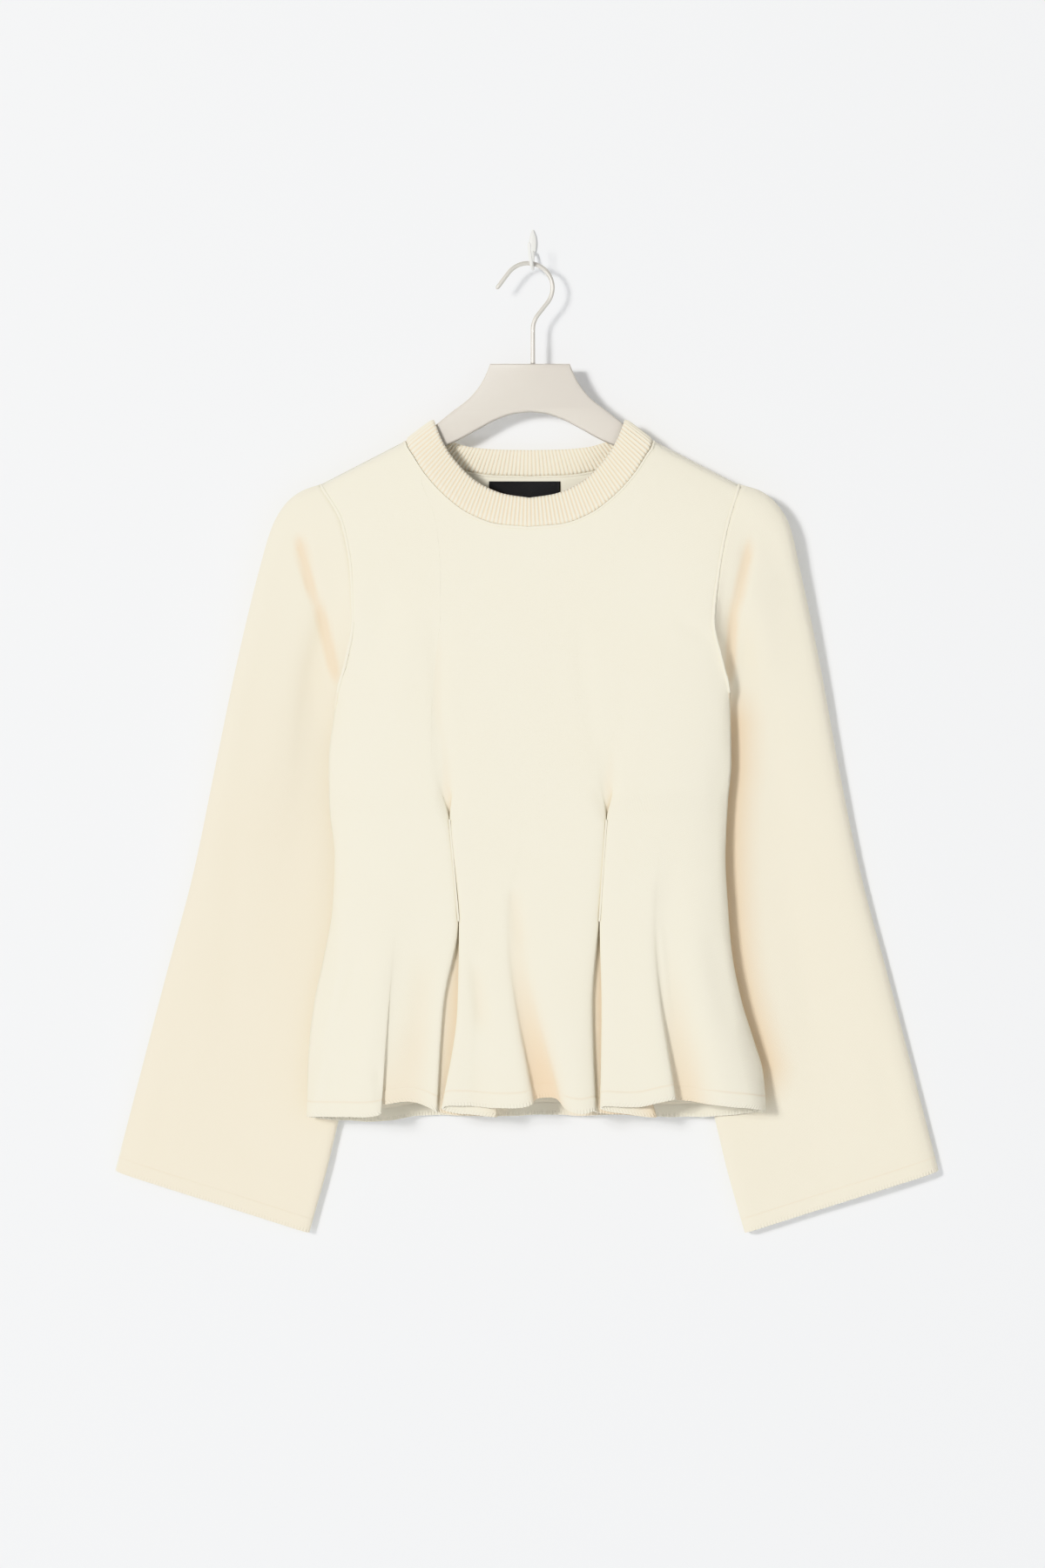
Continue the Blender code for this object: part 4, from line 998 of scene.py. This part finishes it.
def resample_loop(loop, samples):
    """A closed loop at more points, by the cubic through four neighbours (Catmull-Rom)."""
    places = np.linspace(0.0, len(loop), samples, endpoint=False)
    base = np.floor(places).astype(int)
    t = (places - base)[:, None]
    before, start, end, after = (loop[(base + shift) % len(loop)] for shift in (-1, 0, 1, 2))
    return 0.5 * (2 * start + (end - before) * t + (2 * before - 5 * start + 4 * end - after)
                  * t ** 2 + (3 * start - before - 3 * end + after) * t ** 3)


def tube(points, radius, sides, closed, reference):
    """Round tube: circles of the given radius square to a path, turned from a fixed direction."""
    points = np.asarray(points, float)
    if closed:
        along = np.roll(points, -1, axis=0) - np.roll(points, 1, axis=0)
    else:
        along = np.gradient(points, axis=0)
    along = along / np.linalg.norm(along, axis=1)[:, None]
    first = np.cross(along, np.asarray(reference, float))
    first = first / np.linalg.norm(first, axis=1)[:, None]
    second = np.cross(along, first)
    angles = np.linspace(0.0, 2.0 * math.pi, sides, endpoint=False)
    radius = np.broadcast_to(np.asarray(radius, float), (len(points),))
    return (points[:, None] + radius[:, None, None]
            * (np.cos(angles)[None, :, None] * first[:, None]
               + np.sin(angles)[None, :, None] * second[:, None]))


def grid_quads(rows, columns, closed_rows, closed_columns):
    """Index array of the four-sided faces of a grid, wrapped round where it is closed."""
    row = np.arange(rows if closed_rows else rows - 1)[:, None]
    place = np.arange(columns if closed_columns else columns - 1)[None, :]
    row_after, place_after = (row + 1) % rows, (place + 1) % columns
    faces = np.stack([row * columns + place, row * columns + place_after,
                      row_after * columns + place_after, row_after * columns + place], axis=-1)
    return faces.reshape(-1, 4)


def new_piece(name, points, faces, uv=None, caps=(), painted_shade=None):
    """Mesh object at the origin from points in millimetres, its faces, metric UV and painted
    shade.
    """
    flat = points.reshape(-1, 3) * MM
    mesh = bpy.data.meshes.new(name)
    mesh.from_pydata(flat.tolist(), [], [list(face) for face in faces.tolist()] + list(caps))
    if uv is not None:
        layer = mesh.uv_layers.new(name="cloth")
        corners = np.empty(len(mesh.loops), np.int32)
        mesh.loops.foreach_get("vertex_index", corners)
        layer.data.foreach_set("uv", (uv.reshape(-1, 2)[corners] * MM).ravel())
    if painted_shade is not None:
        # Painted shade, kept per point in the fold attribute
        layer = mesh.attributes.new("fold", "FLOAT", "POINT")
        layer.data.foreach_set("value", np.ascontiguousarray(painted_shade, np.float32).ravel())
    mesh.shade_smooth()
    obj = bpy.data.objects.new(name, mesh)
    bpy.context.scene.collection.objects.link(obj)
    return obj


def dress(obj, material, slot, *nodes):
    """Gives a piece its material, and lets it ride and stand for its CAD nodes. The slot is not
    used.
    """
    obj.data.materials.append(material)
    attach(obj, "root")
    if nodes:
        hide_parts(*nodes)
    return obj


def wall_cloth(obj, thickness):
    """Thickens a cloth surface, half to each side."""
    wall = obj.modifiers.new("wall", "SOLIDIFY")
    wall.thickness = thickness
    wall.offset = 0.0


def faces_out(points):
    """True where the grid's own winding already turns its faces away from the middle."""
    middle = points.reshape(-1, 3).mean(axis=0)
    across = np.roll(points, -1, axis=1)[:-1, :-1] - points[:-1, :-1]
    up = points[1:, :-1] - points[:-1, :-1]
    normal = np.cross(across, up)
    return float((normal * (points[:-1, :-1] - middle)).sum()) > 0


def cloth_piece(name, cloth, closed, node, knit):
    """One cloth wall over its grid, dressed, in place of its CAD node."""
    points, uv, painted_shade = cloth
    if not faces_out(points):
        points, uv, painted_shade = (values[:, ::-1] for values in cloth)
    obj = new_piece(name, points, grid_quads(*points.shape[:2], False, closed), uv, painted_shade=painted_shade)
    wall_cloth(obj, bpy.context.scene.top_cloth.wall)
    dress(obj, knit_material(knit, WALE, COURSE, 0.55), "knit", node)
    declare_sheet(cloth[0], closed)


def declare_sheet(points, closed):
    """Repeats a closed grid's first column at its end, and keeps nothing."""
    if closed:
        points = np.concatenate([points, points[:, :1]], axis=1)


def add_node(tree, kind, inputs=None, **settings):
    """One node: its settings, then its inputs, each from a socket or a constant value."""
    node = tree.nodes.new(kind)
    for name, value in settings.items():
        setattr(node, name, value)
    for key, value in (inputs or {}).items():
        if isinstance(value, bpy.types.NodeSocket):
            tree.links.new(value, node.inputs[key])
        else:
            node.inputs[key].default_value = value
    return node


def calc(tree, operation, *values):
    """A Math node of one operation on sockets or numbers."""
    return add_node(tree, "ShaderNodeMath", dict(enumerate(values)),
                    operation=operation).outputs[0]


def noise(tree, scale, detail=2.0):
    """Soft noise over Object coordinates."""
    place = add_node(tree, "ShaderNodeTexCoord").outputs["Object"]
    return add_node(tree, "ShaderNodeTexNoise", {"Vector": place, "Scale": scale,
                                                 "Detail": detail}).outputs["Fac"]


def blend(tree, share, first, second):
    """Colour between two others by a share."""
    return add_node(tree, "ShaderNodeMix", {"Factor": share, "A": first, "B": second},
                    data_type="RGBA").outputs["Result"]


def knit_group():
    """Fine jersey: rows of V stitches from the metric UV, with uneven yarn, as height and tint."""
    group = bpy.data.node_groups.new("fine jersey", "ShaderNodeTree")
    for name, kind, value in (("Wale", "Float", WALE), ("Course", "Float", COURSE),
                              ("Colour", "Color", (0.9, 0.85, 0.7, 1.0)),
                              ("Shade", "Color", (0.8, 0.7, 0.5, 1.0))):
        group.interface.new_socket(name=name, in_out="INPUT",
                                   socket_type="NodeSocket" + kind).default_value = value
    for name, kind in (("Height", "Float"), ("Tint", "Color")):
        group.interface.new_socket(name=name, in_out="OUTPUT", socket_type="NodeSocket" + kind)
    given = group.nodes.new("NodeGroupInput").outputs
    uv = add_node(group, "ShaderNodeUVMap", uv_map="cloth").outputs["UV"]
    across, up, _ = add_node(group, "ShaderNodeSeparateXYZ", {0: uv}).outputs
    turn = 2.0 * math.pi
    wale = calc(group, "DIVIDE", across, given["Wale"])
    course = calc(group, "DIVIDE", up, given["Course"])
    lean = calc(group, "ABSOLUTE", calc(group, "SUBTRACT", calc(group, "FRACT", wale), 0.5))
    leant = calc(group, "SUBTRACT", course, calc(group, "MULTIPLY", lean, STITCH_LEAN))
    loops = calc(group, "SINE", calc(group, "MULTIPLY", leant, turn))
    legs = calc(group, "ABSOLUTE", calc(group, "SINE", calc(group, "MULTIPLY", wale, turn)))
    stitch = calc(group, "ADD", calc(group, "MULTIPLY", loops, LOOP_HEIGHT), legs)
    at_edge = calc(group, "LESS_THAN", up, EDGE_STITCH * MM)
    cast_off = calc(group, "SINE", calc(group, "MULTIPLY", across, turn / (EDGE_PITCH * MM)))
    edge = calc(group, "MULTIPLY", calc(group, "MULTIPLY", at_edge, cast_off), EDGE_HEIGHT)
    yarn, broad = noise(group, 900.0, 3.0), noise(group, 14.0, 5.0)
    height = calc(group, "ADD", calc(group, "ADD", stitch, edge),
                  calc(group, "MULTIPLY", yarn, YARN_HEIGHT))
    duller = calc(group, "ADD", calc(group, "MULTIPLY", broad, 0.35),
                  calc(group, "MULTIPLY", yarn, 0.25))
    tint = blend(group, duller, given["Colour"], given["Shade"])
    add_node(group, "NodeGroupOutput", {"Height": height, "Tint": tint})
    return group


def principled(name, colour, roughness, metallic=0.0, sheen=0.0, coat=0.0, specular=0.5):
    """A material with one Principled shader, its constant values on its own sockets."""
    material = bpy.data.materials.new(name)
    material.use_nodes = True
    shader = material.node_tree.nodes["Principled BSDF"]
    for socket, value in (("Base Color", (*colour, 1.0)), ("Roughness", roughness),
                          ("Metallic", metallic), ("Sheen Weight", sheen),
                          ("Sheen Roughness", 0.5), ("Coat Weight", coat),
                          ("Specular IOR Level", specular)):
        shader.inputs[socket].default_value = value
    return material, shader


def bump(material, shader, height, strength, distance):
    """Feeds a height into the shader's normal."""
    tree = material.node_tree
    node = add_node(tree, "ShaderNodeBump", {"Strength": strength, "Distance": distance,
                                             "Height": height})
    tree.links.new(node.outputs["Normal"], shader.inputs["Normal"])


def knit_material(name, wale, course, strength):
    """Cream fine knit with its stitches, yarn unevenness and soft sheen, and painted shade in its
    folds.
    """
    sizes = bpy.context.scene.top_cloth
    material, shader = principled(name, sizes.colour, 0.82, sheen=0.12, specular=0.25)
    tree = material.node_tree
    knit = add_node(tree, "ShaderNodeGroup",
                    node_tree=bpy.data.node_groups.get("fine jersey") or knit_group())
    for socket, value in (("Wale", wale), ("Course", course), ("Colour", (*sizes.colour, 1.0)),
                          ("Shade", (*sizes.shade_colour, 1.0))):
        knit.inputs[socket].default_value = value
    # Painted shade: the fold attribute mixes the knit towards a warm, darker colour
    fold = add_node(tree, "ShaderNodeAttribute", attribute_name="fold").outputs["Fac"]
    fold_shaded_tint = blend(tree, fold, knit.outputs["Tint"], (*sizes.fold_shade_colour, 1.0))
    tree.links.new(fold_shaded_tint, shader.inputs["Base Color"])
    bump(material, shader, knit.outputs["Height"], strength, 0.00025)
    return material


def grained_material(name, colour, roughness, scale, strength, coat=0.0, metallic=0.0):
    """Moulded or painted finish: fine grain in its bump, slow change in its roughness."""
    material, shader = principled(name, colour, roughness, metallic=metallic, coat=coat)
    tree = material.node_tree
    slow = calc(tree, "MULTIPLY", noise(tree, 35.0), ROUGHNESS_RANGE)
    tree.links.new(calc(tree, "ADD", slow, roughness - ROUGHNESS_RANGE / 2),
                   shader.inputs["Roughness"])
    bump(material, shader, noise(tree, scale, 4.0), strength, 0.0001)
    return material


def label_material():
    """Black woven satin: fine diagonal twill from Object coordinates."""
    material, shader = principled("label satin", (0.012, 0.012, 0.014), 0.5, sheen=0.1)
    tree = material.node_tree
    place = add_node(tree, "ShaderNodeTexCoord").outputs["Object"]
    twill = add_node(tree, "ShaderNodeTexWave",
                     {"Vector": place, "Scale": 900.0, "Distortion": 0.6},
                     wave_type="BANDS", bands_direction="DIAGONAL")
    bump(material, shader, twill.outputs["Fac"], 0.5, 0.00015)
    return material


class TopClothSettings(bpy.types.PropertyGroup):
    """Sizes and colours of the cloth."""

    wall: FloatProperty(name="Cloth thickness", description="Thickness of the knit",
                        default=WALL * MM, unit="LENGTH")
    hem_height: FloatProperty(name="Hem height", description="Height of the hem's line",
                              default=HEM_LINE * MM, unit="LENGTH")
    rib_count: IntProperty(name="Neck ribs", description="Ribs round the neckband",
                           default=NECKBAND_RIBS)
    rib_height: FloatProperty(name="Rib height", description="How far a rib stands up",
                              default=RIB_RISE * MM, unit="LENGTH")
    colour: FloatVectorProperty(name="Colour", description="Colour of the knit",
                                default=(0.87, 0.835, 0.72), subtype="COLOR")
    shade_colour: FloatVectorProperty(name="Second colour", description="Duller yarn in the knit",
                                      default=(0.85, 0.795, 0.655), subtype="COLOR")
    # Painted shade: the warm, darker colour mixed in where folds, grooves and the body shade the
    # knit
    fold_shade_colour: FloatVectorProperty(name="Fold colour", description="Colour deep in a fold",
                                     default=(0.80, 0.62, 0.42), subtype="COLOR")


class TopHangerSettings(bpy.types.PropertyGroup):
    """Sizes and colours of the hanger and its hooks."""

    board: FloatProperty(name="Board thickness", description="Thickness of the hanger",
                         default=HANGER_THICK * MM, unit="LENGTH")
    colour: FloatVectorProperty(name="Hanger colour", description="Colour of the hanger",
                                default=(0.56, 0.525, 0.475), subtype="COLOR")
    wire_colour: FloatVectorProperty(name="Hook colour", description="Colour of the hook",
                                     default=(0.56, 0.54, 0.50), subtype="COLOR")
    wall_colour: FloatVectorProperty(name="Wall hook colour", description="Its enamel",
                                     default=(0.72, 0.72, 0.69), subtype="COLOR")


class TopStageSettings(bpy.types.PropertyGroup):
    """Camera, light and backdrop."""

    distance: FloatProperty(name="Camera distance", description="From the cloth to the camera",
                            default=3.4, unit="LENGTH")
    key: FloatProperty(name="Key light", description="Strength of the key light in watts",
                       default=212.0)
    surround: FloatProperty(name="Surround", description="Strength of the even light",
                            default=0.38)
    colour: FloatVectorProperty(name="Backdrop colour", description="Colour of wall and floor",
                                default=(0.885, 0.895, 0.91), subtype="COLOR")


class TOP_OT_front(bpy.types.Operator):
    """Front of the top, with its tucks, pleats and hem"""

    bl_idname = "peplum.front"
    bl_label = "Front"

    def execute(self, context):
        cloth_piece("front_cloth", body_cloth("front"), False, "front_panel", "front knit")
        return {"FINISHED"}


class TOP_OT_back(bpy.types.Operator):
    """Back of the top"""

    bl_idname = "peplum.back"
    bl_label = "Back"

    def execute(self, context):
        cloth_piece("back_cloth", body_cloth("back"), False, "back_panel", "back knit")
        return {"FINISHED"}


class TOP_OT_sleeves(bpy.types.Operator):
    """Both sleeves"""

    bl_idname = "peplum.sleeves"
    bl_label = "Sleeves"

    def execute(self, context):
        for mirror, side in SIDES:
            cloth_piece("sleeve_cloth_" + side, sleeve_cloth(mirror), True, "sleeve_" + side,
                        "sleeve knit " + side)
        return {"FINISHED"}


class TOP_OT_neckband(bpy.types.Operator):
    """Ribbed neckband"""

    bl_idname = "peplum.neckband"
    bl_label = "Neckband"

    def execute(self, context):
        points = neckband_cloth()
        rings, samples = points.shape[:2]
        u = np.cumsum(np.linalg.norm(points - np.roll(points, 1, axis=1), axis=2), axis=1)
        v = np.broadcast_to(np.linspace(*BAND_V, rings)[:, None], u.shape)
        # Painted shade in the grooves between the ribs
        groove = 0.5 - 0.5 * np.cos(np.arange(samples) / RIB_SAMPLES * 2.0 * math.pi)
        painted_shade = np.broadcast_to(RIB_GROOVE_SHADE * groove ** 4, u.shape)
        obj = new_piece("neckband_rib", points, grid_quads(rings, samples, True, True)[:, ::-1],
                        np.stack([u, v], axis=-1), painted_shade=painted_shade)
        dress(obj, knit_material("neckband knit", RIB_WALE, COURSE, 0.35), "rib", "neckband")
        declare_sheet(points[:BAND_ROWS], True)
        return {"FINISHED"}


class TOP_OT_seams(bpy.types.Operator):
    """Linked seams: under the neckband, round the armholes and down the tucks"""

    bl_idname = "peplum.seams"
    bl_label = "Seams"

    def execute(self, context):
        material = knit_material("seam knit", WALE, COURSE, 0.4)
        seam, edge = neck_loops()
        outward = loop_normals(seam, edge)
        rolls = [("armhole_seam_" + side, armhole_loop(mirror), ARMHOLE_ROLL, (1.0, 0.02, 0.03))
                 for mirror, side in SIDES]
        for name, face in (("neck_seam", 1.0), ("neck_seam_inside", -1.0)):
            path = seam - (edge - seam) * NECK_ROLL_UNDER + outward * NECK_ROLL_OUT * face
            rolls.append((name, resample_loop(path, NECK_ROLL_SAMPLES), NECK_ROLL,
                          (0.0, 0.0, 1.0)))
        for name, path, radius, reference in rolls:
            along = np.cumsum(np.linalg.norm(path - np.roll(path, 1, axis=0), axis=1))
            beat = 1.0 + ROLL_BEAT[0] * np.sin(along * 2.0 * math.pi / ROLL_BEAT[1])
            points = tube(path, radius * beat, ROLL_SIDES, True, reference)
            angles = np.broadcast_to(np.arange(ROLL_SIDES) * radius * 0.8, points.shape[:2])
            uv = np.stack([angles, np.broadcast_to(along[:, None], angles.shape)], axis=-1)
            obj = new_piece(name, points, grid_quads(len(path), ROLL_SIDES, True, True), uv)
            dress(obj, material, "knit")
        for side in PLEAT_LINES:
            obj = closed_form("tuck_seam_" + side, tube(tuck_line(side), TUCK_ROLL, ROLL_SIDES,
                                                        False, (0.0, 1.0, 0.0)))
            obj.data.uv_layers.new(name="cloth")
            dress(obj, material, "knit")
        return {"FINISHED"}


def tuck_line(side):
    """Path of the stitching that holds a tuck shut, on the front's face."""
    _, top_x, foot_x, *_ = PLEAT_LINES[side]
    z = np.linspace(TUCK_TOP_Z - 1.0, WAIST_Z, TUCK_SAMPLES)
    x = top_x + (foot_x - top_x) * (TUCK_TOP_Z - z) / (TUCK_TOP_Z - WAIST_Z)
    depth = eased(FRONT_DEPTHS, 1, z) - TUCK_ROLL_SUNK
    return at_depth(x, depth, z)


def armhole_loop(mirror):
    """Closed path of an armhole seam, between the body's edges and the sleeve."""
    down = np.linspace(0.0, 1.0, ARMHOLE_SAMPLES)
    x, z = armhole_line(np.concatenate([down, down[-2:0:-1]]), mirror, ARMHOLE_GAP / 2)
    side = 1.0 if mirror else 0.0
    front = np.maximum(front_depth(side, x, z) + ARMHOLE_ROLL_OUT, HANGER_DEPTH)
    back = np.minimum(back_depth(side, x, z) - ARMHOLE_ROLL_OUT, HANGER_DEPTH)
    depth = np.where(np.arange(len(z)) < ARMHOLE_SAMPLES, front, back)
    depth[[0, ARMHOLE_SAMPLES - 1]] = HANGER_DEPTH
    return at_depth(x, depth, z)


class TOP_OT_label(bpy.types.Operator):
    """Plain woven label inside the back neck"""

    bl_idname = "peplum.label"
    bl_label = "Label"

    def execute(self, context):
        width, height = LABEL_SIZE
        across, up = LABEL_SAMPLES
        xs = np.linspace(LABEL_MIDDLE_X - width / 2, LABEL_MIDDLE_X + width / 2, across)
        zs = np.linspace(LABEL_TOP_Z - height, LABEL_TOP_Z, up)
        x, z = np.meshgrid(xs, zs)
        off = WALL / 2 + LABEL_GAP + LABEL_THICK / 2
        depth = back_depth(across_share(x, z), x, z) + off + LABEL_RIPPLE * np.sin(x / 9.0)
        inset = np.minimum(np.minimum(x - xs[0], xs[-1] - x), np.minimum(z - zs[0], zs[-1] - z))
        depth = depth + LABEL_EDGE[0] * np.exp(-(inset / LABEL_EDGE[1]) ** 2)
        points, uv = at_depth(x, depth, z), np.stack([x, z], axis=-1)
        if not faces_out(points):
            points, uv = points[:, ::-1], uv[:, ::-1]
        obj = new_piece("neck_label_woven", points, grid_quads(up, across, False, False), uv)
        wall_cloth(obj, LABEL_THICK * MM)
        dress(obj, label_material(), "label", "neck_label")
        declare_sheet(points, False)
        return {"FINISHED"}


def board_mesh(outline, thick, edge, steps):
    """Flat board: rings of its outline drawn in along quarter circles at both faces, capped."""
    outline = np.array(outline, float)
    along = np.roll(outline, -1, axis=0) - np.roll(outline, 1, axis=0)
    along = along / np.linalg.norm(along, axis=1)[:, None]
    inward = np.stack([-along[:, 1], along[:, 0]], axis=1)
    area = np.sum(outline[:, 0] * np.roll(outline[:, 1], -1)
                  - np.roll(outline[:, 0], -1) * outline[:, 1])
    inward = inward * np.sign(area)
    angles = np.linspace(0.0, math.pi / 2, steps)
    depths = np.concatenate([thick / 2 - edge + edge * np.sin(angles[::-1]),
                             -(thick / 2 - edge) - edge * np.sin(angles)])
    insets = np.concatenate([edge * (1.0 - np.cos(angles[::-1])), edge * (1.0 - np.cos(angles))])
    rings = [np.stack([*(outline + inward * inset).T, np.full(len(outline), depth)], axis=-1)
             for depth, inset in zip(depths, insets)]
    return np.stack(rings, axis=0)[..., [0, 2, 1]]


class TOP_OT_hanger(bpy.types.Operator):
    """Flat hanger and its round wire hook"""

    bl_idname = "peplum.hanger"
    bl_label = "Hanger"

    def execute(self, context):
        sizes = context.scene.top_hanger
        rings = board_mesh(hanger_outline(), sizes.board / MM, HANGER_EDGE, 5)
        rings = rings * (1.0, -1.0, 1.0) + (HANGER_MIDDLE_X, -HANGER_DEPTH, 0.0)
        obj = closed_form("hanger_board", rings, HANGER_SHARP)
        satin = grained_material("hanger satin", sizes.colour, 0.46, 1400.0, 0.25)
        dress(obj, satin, "hanger", "hanger_body")
        path = smooth_path([(x, -HANGER_DEPTH, z) for x, z in hook_path()], 160)
        radius = np.full(len(path), HOOK_WIRE / 2)
        radius[:len(HOOK_TIP)] *= HOOK_TIP
        obj = closed_form("hanger_hook_wire", tube(path, radius, 20, False, (0.0, 1.0, 0.0)))
        paint = grained_material("hook paint", sizes.wire_colour, 0.30, 900.0, 0.15,
                                 coat=0.4, metallic=0.25)
        dress(obj, paint, "wire", "hanger_hook")
        return {"FINISHED"}


def closed_form(name, rings, sharp=None):
    """Closed mesh of rings one after another, its ends filled and its faces turned outwards."""
    count, sides = rings.shape[:2]
    last = (count - 1) * sides
    caps = [list(range(sides)), list(range(last + sides - 1, last - 1, -1))]
    obj = new_piece(name, rings, grid_quads(count, sides, False, True)[:, ::-1], caps=caps)
    if sharp is not None:
        obj.data.set_sharp_from_angle(angle=sharp)
    work = bmesh.new()
    work.from_mesh(obj.data)
    bmesh.ops.recalc_face_normals(work, faces=work.faces)
    work.to_mesh(obj.data)
    work.free()
    return obj


class TOP_OT_wall_hook(bpy.types.Operator):
    """Leaf-shaped plate on the wall and the prong that carries the hanger"""

    bl_idname = "peplum.wall_hook"
    bl_label = "Wall hook"

    def execute(self, context):
        paint = grained_material("wall hook enamel", context.scene.top_hanger.wall_colour,
                                 0.32, 700.0, 0.12, coat=0.3)
        angles = np.linspace(0.0, 2.0 * math.pi, PLATE_AROUND, endpoint=False)
        middle, reach = (PLATE_TOP_Z + PLATE_BOTTOM_Z) / 2, (PLATE_TOP_Z - PLATE_BOTTOM_Z) / 2
        up, turn = np.cos(angles), np.sin(angles)
        wide = PLATE_HALF_WIDTH * np.sign(turn) * np.abs(turn) ** PLATE_POINTEDNESS
        rings = np.stack([np.stack([wide * share, np.full(PLATE_AROUND, -depth),
                                    middle + reach * up * share], axis=-1)
                          for share, depth in PLATE_STEPS])
        dress(closed_form("wall_plate_leaf", rings), paint, "wall_hook", "wall_plate")
        path = smooth_path(prong_path(), 90)
        radius = np.full(len(path), PRONG_WIRE / 2)
        radius[-len(PRONG_TIP):] *= PRONG_TIP
        obj = closed_form("wall_prong_round", tube(path, radius, 16, False, (1.0, 0.0, 0.0)))
        dress(obj, paint, "wall_hook", "wall_prong")
        return {"FINISHED"}


def backdrop_material():
    """Matt paint that lets a camera behind it see through, as its back is not part of a room."""
    material, shader = principled("backdrop paint", bpy.context.scene.top_stage.colour, 0.95)
    tree = material.node_tree
    behind = add_node(tree, "ShaderNodeNewGeometry").outputs["Backfacing"]
    clear = add_node(tree, "ShaderNodeBsdfTransparent").outputs[0]
    mix = add_node(tree, "ShaderNodeMixShader", {0: behind, 1: shader.outputs[0], 2: clear})
    tree.links.new(mix.outputs[0], tree.nodes["Material Output"].inputs["Surface"])
    return material


def area_light(name, place, size, watts, colour):
    """Square area light turned to the middle of the top."""
    data = bpy.data.lights.new(name, "AREA")
    data.size, data.energy, data.color = size, watts, colour
    obj = bpy.data.objects.new(name, data)
    bpy.context.scene.collection.objects.link(obj)
    obj.location = place
    obj.rotation_euler = (Vector(LIT_PLACE) - Vector(place)).to_track_quat("-Z", "Y").to_euler()


class TOP_OT_stage(bpy.types.Operator):
    """Pale wall and floor, soft light and the camera"""

    bl_idname = "peplum.stage"
    bl_label = "Stage"

    def execute(self, context):
        scene, sizes = context.scene, context.scene.top_stage
        paint = backdrop_material()
        low, high, reach = ROOM_FLOOR_Z, ROOM_TOP_Z, ROOM_REACH
        wall = [(-reach, WALL_BEHIND, low), (reach, WALL_BEHIND, low),
                (-reach, WALL_BEHIND, high), (reach, WALL_BEHIND, high)]
        floor = [(-reach, -reach, low), (reach, -reach, low), (-reach, reach, low),
                 (reach, reach, low)]
        for name, corners in (("stage_wall", wall), ("stage_floor", floor)):
            obj = new_piece(name, np.array(corners) / MM, grid_quads(2, 2, False, False))
            obj.data.materials.append(paint)
            obj.visible_shadow = False
        for name, place, size, share, colour in LIGHTS:
            area_light(name, place, size, sizes.key * share, colour)
        world = bpy.data.worlds.new("surround")
        world.use_nodes = True
        sky = world.node_tree.nodes["Background"]
        sky.inputs["Color"].default_value = (1.0, 0.995, 0.985, 1.0)
        sky.inputs["Strength"].default_value = sizes.surround
        scene.world = world
        scene.view_settings.view_transform = "Khronos PBR Neutral"
        data = bpy.data.cameras.new("camera")
        data.sensor_width = CAMERA_SENSOR
        data.lens = CAMERA_SENSOR * sizes.distance / (PHOTO_HEIGHT * MM_PER_PIXEL * MM)
        camera = bpy.data.objects.new("camera", data)
        scene.collection.objects.link(camera)
        camera.location = (CAMERA_X * MM, -sizes.distance + CAMERA_PLANE_Y * MM, CAMERA_Z * MM)
        camera.rotation_euler = (math.radians(90.0), 0.0, 0.0)
        scene.camera = camera
        return {"FINISHED"}


class TOP_PT_panel(bpy.types.Panel):
    """Lists the pieces of the top and their sizes"""

    bl_label = "Peplum Top"
    bl_space_type = "VIEW_3D"
    bl_region_type = "UI"
    bl_category = "Peplum Top"

    def draw(self, context):
        layout = self.layout
        for group in (context.scene.top_cloth, context.scene.top_hanger,
                      context.scene.top_stage):
            for name in group.__annotations__:
                layout.prop(group, name)
        for operator in PIECES:
            layout.operator(operator.bl_idname)


SETTINGS = (("top_cloth", TopClothSettings), ("top_hanger", TopHangerSettings),
            ("top_stage", TopStageSettings))
PIECES = (TOP_OT_stage, TOP_OT_front, TOP_OT_back, TOP_OT_sleeves, TOP_OT_neckband,
          TOP_OT_seams, TOP_OT_label, TOP_OT_hanger, TOP_OT_wall_hook)


def register():
    """Registers the settings, the operators and the panel."""
    for name, settings in SETTINGS:
        bpy.utils.register_class(settings)
        setattr(bpy.types.Scene, name, PointerProperty(type=settings))
    for piece in (*PIECES, TOP_PT_panel):
        bpy.utils.register_class(piece)


def unregister():
    """Takes them out again."""
    for piece in (TOP_PT_panel, *reversed(PIECES)):
        bpy.utils.unregister_class(piece)
    for name, settings in reversed(SETTINGS):
        delattr(bpy.types.Scene, name)
        bpy.utils.unregister_class(settings)


def main():
    register()
    for piece in PIECES:
        group, name = piece.bl_idname.split(".")
        getattr(getattr(bpy.ops, group), name)()
    bpy.context.view_layer.update()


if __name__ == "__main__":
    main()
